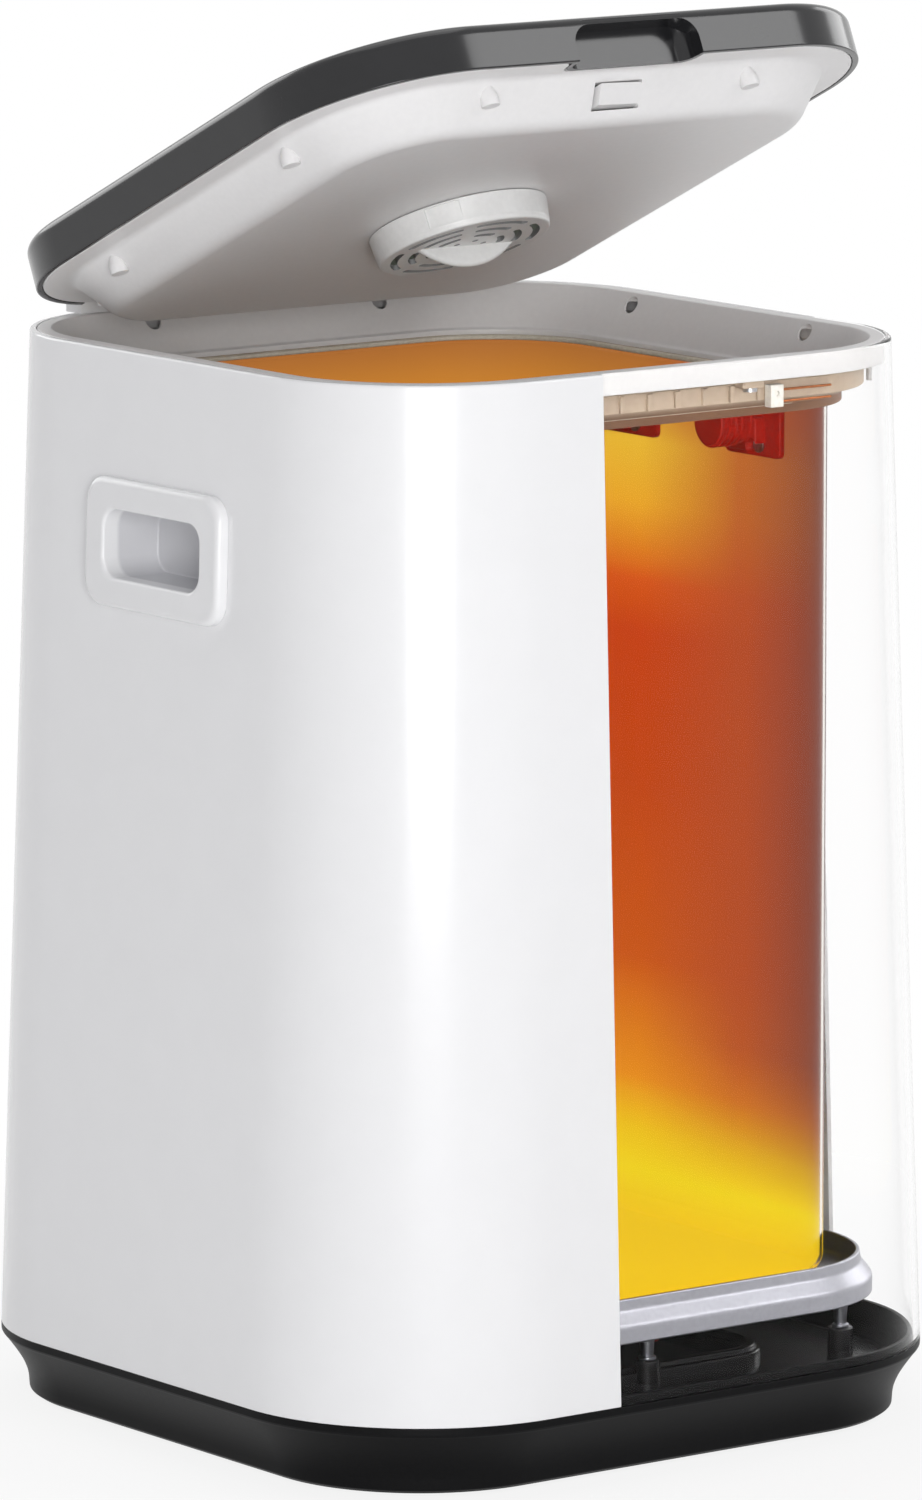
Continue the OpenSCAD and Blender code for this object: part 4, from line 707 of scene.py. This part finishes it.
underframe = {
    "centre": 70.0, "foot": 392.5, "neck": 117.6, "step": 399.2, "top": 406.5, "wide": 126.0,
    "ribs": 8, "pitch": 13.0, "rib": (2.4, 2.6), "screwAt": 39.0, "tab": (10.0, 6.2), "switchAt": 51.5,
}
u = underframe
c, foot, top, wide = u["centre"], u["foot"], u["top"], u["wide"]
rows = profile([
    even(u["neck"], c, foot, 0.4), even(u["neck"], c, 396, 1), even(121.6, c, u["step"] - 0.6, 0.8), even(wide, c, u["step"], 0.6),
    even(wide, c, top, 0.4), even(wide - 2.4, c, top, 0.3), even(wide - 2.4, c, u["step"] + 1.6, 0.6),
    even(119.4, c, u["step"] + 0.9, 0.6), even(116.2, c, 397, 0.4), even(116.2, c, 394.3, 0.2),
    even(113.4, 69, 394.3, 0.2), even(113.4, 69, foot, 0.2)],
    closed=True, steps=4, hold=0.3)
frameRing = shape("underframe", surface(sweep(rows, bucketPlaces), wrapRows=True))
extras = []
for quarter in range(4):
    turned = Matrix.Rotation(quarter * math.pi / 2, 4, "Z")
    for rib in range(u["ribs"]):
        x = (rib - (u["ribs"] - 1) / 2) * u["pitch"]
        if quarter == 2 and abs(-x - u["switchAt"]) < 4.5:
            continue
        extras.append(placed(slab(u["rib"], 0.4, u["step"] + 0.4, top - 0.6, 0.25), turned
                             @ Matrix.Translation((x, wide, 0))))
    for side in (-1, 1):
        extras.append(placed(slab(u["tab"], 1.0, top - 1.5, top + 1.5, 0.3), turned
                             @ Matrix.Translation((side * u["screwAt"], wide + 2.6, 0))))
combine(frameRing, "UNION", *extras)
dress(frameRing, frameCream, "collar_underframe", "underframe_ledge")
print("collar and underframe made")

# Lid

lid = {"half": 133.6, "centre": 72.6, "rim": 17.4, "top": 18.4, "under": 16.4, "wall": 2.5, "softEdge": 4.3}
recess = {"half": 29.0, "back": 27.8, "depth": 9.6, "height": 14.0, "corner": 8.0, "fillet": 7.0}


def divide(rows, most):
    # the same path with its longer legs cut into equal steps
    steps = np.maximum(1, np.ceil(np.hypot(*np.diff(rows[:, [0, 3]], axis=0).T) / most)).astype(int)
    pieces = [rows[i] + (rows[i + 1] - rows[i]) * (np.arange(count) / count)[:, None] for i, count in enumerate(steps)]
    return np.concatenate(pieces + [rows[-1:]])


def recessTool(path, height, corner, span, front=6.0, low=-5.0):
    # A recess cut in from the lid's front. Path corners are (x, depth, fillet). At each point of the path the
    # section is a rectangle as deep as the path and as high as the arch: height less corner - sqrt(corner^2 -
    # (|x| - span + corner)^2) near its ends.
    rows = divide(profile([(x, 0, 0, depth, fillet) for x, depth, fillet in path], steps=10), 1.5)
    x, back = rows[:, 0], rows[:, 3] - lid["half"]
    beyond = np.clip(np.abs(x) - span + corner, 0, corner)
    top = height - corner + np.sqrt(corner ** 2 - beyond ** 2)
    outside = np.full_like(x, -lid["half"] - front)
    low = np.full_like(x, low)
    grid = np.stack([np.stack(row, axis=1) for row in
                     ((x, outside, low), (x, outside, top), (x, back, top), (x, back, low))])
    return surface(grid, ("start", "end"), True, False)


def fingerPath(grow):
    half, back, depth, fillet = (recess[key] for key in ("half", "back", "depth", "fillet"))
    return [(-half - grow, 0, 0), (-back - grow, depth + grow, fillet + grow),
            (back + grow, depth + grow, fillet + grow), (half + grow, 0, 0)]


h, c, w = lid["half"], lid["centre"], lid["wall"]
lidRows = profile([
    even(h - 24, c, 16.4), even(h - w, c, 16.4, 3), even(h - w, c, 0, 0.4), even(h, c, 0, 0.5),
    even(h, c, 17.45, lid["softEdge"]), even(h - 12, c, 18.4, 20), even(h - 30, c, 18.4)], steps=10)
lidPlaces = stations([(side, [-60, -40, 0, 40, 60]) for side in range(4)], turns=28)
lidTop = shape("lidTop", surface(sweep(lidRows, lidPlaces), ("first", "last")))
combine(lidTop, "UNION", recessTool(fingerPath(2), 16.2, 10, 31, front=-0.6, low=0.02))
combine(lidTop, "DIFFERENCE", recessTool(fingerPath(0), 14, 8, 29))
notches = [box((side * 62 - 24.3, 128.5, -5), (side * 62 + 24.3, 160, 15.6)) for side in (-1, 1)]
combine(lidTop, "DIFFERENCE", *notches)
panelAt = Matrix.Translation((0, -88, 0))
combine(lidTop, "DIFFERENCE", placed(slab((100.4, 34.4), 4.2, 17.2, 30), panelAt))
wells = [placed(tube(8.85, 10, 30), panelAt @ Matrix.Translation((side * 32, 0, 0))) for side in (-1, 1)]
wells += [placed(tube(2.3, 10, 30), panelAt @ Matrix.Translation((x, 0, 0))) for x in (-15, -5, 5, 15)]
combine(lidTop, "DIFFERENCE", *wells)
dress(lidTop, lidGloss, "lid_top_cover")
print("lid top made")

plug = {"root": 119.5, "foot": 106.3, "depth": 17.0, "wall": 2.2, "footCentre": 71.3, "flange": 130.8}


def plugHalf(z):
    # the plug's side leans in on a straight slope
    return plug["root"] + (plug["root"] - plug["foot"]) * z / plug["depth"]


f, w, depth = plug["footCentre"], plug["wall"], plug["depth"]
rows = profile([
    even(96, f, -depth), even(106.3, f, -depth, 9), even(119.5, c, 0, 4), even(130.8, c, 0, 0.5),
    even(130.8, c, 2.2, 0.5), even(118, c, 2.2, 2), even(104.4, f, -depth + w, 6), even(94, f, -depth + w)], steps=8)
lidInner = shape("lidInner", surface(sweep(rows, lidPlaces), ("first", "last")))
bumps = []
for quarter in range(4):
    for side in (-1, 1):
        bumps.append(placed(lathe([(1, -9.4, 0), (3.6, -9.4, 0.35), (3.6, -5.6, 8), (1.1, 0.3, 1.0), (0.3, 0.4, 0)], 40),
                            Matrix.Rotation(quarter * math.pi / 2, 4, "Z")
                            @ Matrix.Translation((side * 61, plugHalf(-5.2) + 0.4, 0))))
combine(lidInner, "UNION", *bumps)
combine(lidInner, "DIFFERENCE", placed(tube(32.6, -20, 8, count=96)))
combine(lidInner, "DIFFERENCE", *notches)
flangePath = [(-41, 2.75, 0), (-31.3, 2.75, 3), (-30.1, 11.9, 9.3), (30.1, 11.9, 9.3), (31.3, 2.75, 3), (41, 2.75, 0)]
combine(lidInner, "DIFFERENCE", recessTool(flangePath, 10, 0.01, 41, low=-3))
snapTab = {"half": 10.75, "low": -12.4, "high": -4.6, "slot": 1.1, "lift": 1.5}
slots = [box((-10.75, -plugHalf(z) - 6, z), (10.75, -plugHalf(z) + 6, z + 1.1)) for z in (-12.4, -4.6)]
slots.append(box((-11.35, -plugHalf(-8) - 8, -12.4), (-10.25, -plugHalf(-8) + 8, -3.5)))
for slot in slots:
    combine(lidInner, "DIFFERENCE", slot)
# the tab is a wedge on the plug's slope, proud at its left end and flush at its right
ends = np.array([(-10.25, 3.0), (9.5, 1.3)])
grid = []
for z, out in ((-11.3, -1.2), (-11.3, 1), (-4.6, 1), (-4.6, -1.2)):
    lift = np.where(out > 0, ends[:, 1], out)
    grid.append(np.stack([ends[:, 0], -(plugHalf(z) + lift), np.full(2, z)], axis=1))
tab = surface(np.array(grid)[::-1], ("start", "end"), True, False)
combine(lidInner, "UNION", tab)
dress(lidInner, satinAbs, "lid_inner_cover")
print("lid inner cover made")

# Diffuser

diffuser = {"tip": 33.6, "root": 35.0, "low": -28.45, "high": -17.35, "neck": 32.2, "neckWall": 1.8, "neckTop": -6.8,
            "plate": 2.0, "rings": (7.2, 14.1, 21.0, 28.0), "slot": 2.8, "rib": 5.0, "finWidth": 44.0, "finHeight": 8.0}
low, high = diffuser["low"], diffuser["high"]
cap = shape("diffuserCap", lathe([
    (5, low, 0), (33.6, low, 1.0), (33.8, low + 1.8, 0.2), (34.0, low + 2.4, 0.2), (35, high, 0.4), (32.2, high, 0.3),
    (32.2, -6.8, 0.4), (30.4, -6.8, 0.3), (30.4, low + 2, 0.5), (5, low + 2, 0)], 192, steps=5))


def slotTool(radius, start, end, half):
    # a slot along an arc with half round ends, cut right through the grille
    length = np.linspace(start, end, 12)
    turn = np.linspace(0, math.pi, 9)
    spine = [np.stack([np.cos(length) * (radius + half), np.sin(length) * (radius + half)], axis=1)]
    for angle, first in ((end, 0), (start, math.pi)):
        middle = radius * np.array([math.cos(angle), math.sin(angle)])
        out, along = np.array([math.cos(angle), math.sin(angle)]), np.array([-math.sin(angle), math.cos(angle)])
        spine.append(middle + half * (np.outer(np.cos(turn + first), out) + np.outer(np.sin(turn + first), along))[1:-1])
        if angle == end:
            spine.append(np.stack([np.cos(length[::-1]) * (radius - half), np.sin(length[::-1]) * (radius - half)], axis=1))
    outline = np.concatenate(spine)
    grid = np.stack([np.column_stack([outline, np.full(len(outline), z)]) for z in (low - 3, low + 5)])
    return surface(grid, ("first", "last"))


slotTools = []
for radius in diffuser["rings"]:
    ribTurn = math.asin(diffuser["rib"] / 2 / radius)
    half = min(diffuser["slot"] / 2, radius * (math.pi / 6 - ribTurn) * 0.96)
    for sixth in range(6):
        start, end = sixth * math.pi / 3 + ribTurn + half / radius, (sixth + 1) * math.pi / 3 - ribTurn - half / radius
        slotTools.append(slotTool(radius, min(start, end - 0.02), end, half))
combine(cap, "DIFFERENCE", *slotTools)
sideTools = []
for third in range(3):
    turn = np.radians(np.linspace(-147, -124, 9) + 120 * third)
    grid = np.stack([np.stack([np.cos(turn) * r, np.sin(turn) * r, np.full(9, z)], axis=1)
                     for r, z in ((33.2, low + 2.9), (40, low + 2.9), (40, high - 0.7), (33.9, high - 0.7))])
    sideTools.append(surface(grid, ("start", "end"), True, False))
combine(cap, "DIFFERENCE", *sideTools)
# The half-moon grip: its edge is the arc z = base - (sqrt(R^2 - x^2) - R + height), its section is round at the tip
finRadius = (diffuser["finWidth"] ** 2 / 4 + diffuser["finHeight"] ** 2) / (2 * diffuser["finHeight"])
x = np.sin(np.linspace(-1, 1, 41) * math.asin((diffuser["finWidth"] / 2 - 0.2) / finRadius)) * finRadius
tall = np.sqrt(finRadius ** 2 - x ** 2) - finRadius + diffuser["finHeight"]
turn = np.linspace(0, math.pi, 13)
rows = [np.stack([x, np.full_like(x, -1.5), np.full_like(x, low + 0.6)], axis=1)]
for angle in turn:
    bulge = np.minimum(1.5, tall)
    rows.append(np.stack([x, np.full_like(x, -1.5 * math.cos(angle)), low - tall + bulge - bulge * math.sin(angle)], axis=1))
rows.append(np.stack([x, np.full_like(x, 1.5), np.full_like(x, low + 0.6)], axis=1))
combine(cap, "UNION", surface(np.array(rows)[::-1], ("start", "end"), True, False))
# the faces inside the grille slots take the painted shade
inSlots = [face.index for face in cap.data.polygons if low + 0.2 < face.center.z < low + 1.8
           and math.hypot(face.center.x, face.center.y) < diffuser["rings"][-1] + diffuser["slot"]]
dress(cap, diffuserAbs, "diffuser_cap")
cap.data.materials.append(slotShade)
for index in inSlots:
    cap.data.polygons[index].material_index = 1
print("diffuser made")

# Probe housings: a knurled barrel on a small plate, along -X from the bucket's right wall

probe = {
    "wall": 111.8, "up": 368.8, "ys": (-47.0, 30.5), "radius": 9.5, "length": 20.0, "plate": 2.5, "knurls": 44,
    "side": 8.0, "above": 9.0, "below": 4.5, "rings": 4, "pitch": 3.0,
}
r, length, core = probe["radius"], probe["length"], probe["radius"] - 0.9
points = [(1, 0, 0), (r, 0, 0.3), (r, length / 3 - 1.6, 0.5), (core, length / 3 - 1.4, 0.3)]
for i in reversed(range(probe["rings"])):
    start = length - probe["pitch"] * (i + 0.95)
    points += [(core, start, 0.2), (r, start + 0.15, 0.3), (r, start + 1.5, 0.3), (core, start + 1.65, 0.2)]
points += [(core - 0.2, length - 0.4, 2.6), (1, length, 0)]
rows = profile([(r, r, r, z, fillet) for r, z, fillet in points], steps=5, hold=0.25)
grid = sweep(rows, circle(264))
turn = np.arange(264) * 2 * math.pi / 264
ribbed = (np.hypot(grid[..., 0], grid[..., 1]) > r - 0.3) & (grid[..., 2] > length / 3)
grid[..., :2] *= np.where(ribbed, 1 - 0.02 * (0.5 + 0.5 * np.cos(probe["knurls"] * turn)), 1)[..., None]
barrel = surface(grid, ("first", "last"))
housings = None
for y in probe["ys"]:
    out = Matrix.Translation((probe["wall"], y, probe["up"])) @ Matrix.Rotation(-math.pi / 2, 4, "Y")
    plate = placed(slab((20, 34), 2.5, 0, 2.5, 0.4), out @ Matrix.Translation((10 - probe["below"], 5, 0)))
    block = placed(slab((13, 24), 1.5, 2, 7.5, 0.5), out @ Matrix.Translation((4.5, 9, 0)))
    screwWell = placed(tube(3.2, 2.6, 20), out)
    made = shape("probeHousing", plate)
    combine(made, "UNION", block)
    combine(made, "DIFFERENCE", screwWell)
    combine(made, "UNION", placed(barrel, out @ Matrix.Translation((probe["above"], probe["side"], 2.4))))
    housings = housings or made
    if made is not housings:
        combine(housings, "UNION", (np.array([v.co for v in made.data.vertices]),
                                    [list(face.vertices) for face in made.data.polygons]))
        bpy.data.objects.remove(made)
dress(housings, probeRed, "probe_housings")
print("probe housings made")

# Buttons: turned, with a spherical dish in the top, a holding flange and a stem that reaches the board

button = {
    "radius": 8.5, "flange": (9.8, 14.6, 16.1), "stem": (2.0, 12.4), "dish": 60.0, "dishFloor": 18.5, "at": (32.0, -88.0),
}
flangeRadius, flangeFoot, flangeTop = button["flange"]
radius, (stemRadius, stemFoot) = button["radius"], button["stem"]
points = [(stemRadius, stemFoot, 0), (stemRadius, flangeFoot, 0), (flangeRadius, flangeFoot, 0.2),
          (flangeRadius, flangeTop, 0.2), (radius, flangeTop, 0)]
for r, fillet in ((radius, 0.5), (7.4, 0), (6.0, 0), (4.5, 0), (3.0, 0), (1.5, 0)):
    # dish: z = floor + R - sqrt(R^2 - r^2)
    points.append((r, button["dishFloor"] + button["dish"] - math.sqrt(button["dish"] ** 2 - r ** 2), fillet))
rows = profile([(r, r, r, z, fillet) for r, z, fillet in points], steps=5, hold=0.15)
turned = surface(sweep(rows, circle(72)), ("first", "last"))
for node, side in (("power_button", -1), ("timer_button", 1)):
    dress(shape(node + "Turned", placed(turned, Matrix.Translation((side * button["at"][0], button["at"][1], 0)))),
          buttonSilver, node)
print("buttons made")

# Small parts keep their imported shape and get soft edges


def softCopy(node, material, width, sharp=32):
    # a merged copy of a node whose edges over 40 degrees are rounded by that many millimetres
    mesh = nodes[node].data.copy()
    work = bmesh.new()
    work.from_mesh(mesh)
    bmesh.ops.remove_doubles(work, verts=work.verts, dist=2e-6)
    bmesh.ops.dissolve_limit(work, angle_limit=math.radians(0.1), verts=work.verts, edges=work.edges)
    work.to_mesh(mesh)
    work.free()
    piece = bpy.data.objects.new(node + "Soft", mesh)
    scene.collection.objects.link(piece)
    bevel = piece.modifiers.new("edges", "BEVEL")
    bevel.width, bevel.segments, bevel.limit_method = width / 1000, 3, "ANGLE"
    bevel.angle_limit, bevel.use_clamp_overlap = math.radians(40), True
    settle(piece)
    mesh = piece.data
    mesh.polygons.foreach_set("use_smooth", [True] * len(mesh.polygons))
    mesh.set_sharp_from_angle(angle=math.radians(sharp))
    mesh.materials.clear()
    mesh.materials.append(material)
    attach(piece, bodyOf[node])
    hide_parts(node)


for node, width in (("hinge_brackets", 0.6), ("lid_hinge_arms", 0.5),
                    ("bottom_cover", 0.4), ("cord_gland", 0.4), ("control_panel", 0.3), ("lid_switch", 0.4),
                    ("terminal_block", 0.3), ("power_relay", 0.4), ("lid_magnet", 0.3), ("rubber_feet", 0.3)):
    softCopy(node, nodeFinish[node], width)
print("small parts softened")
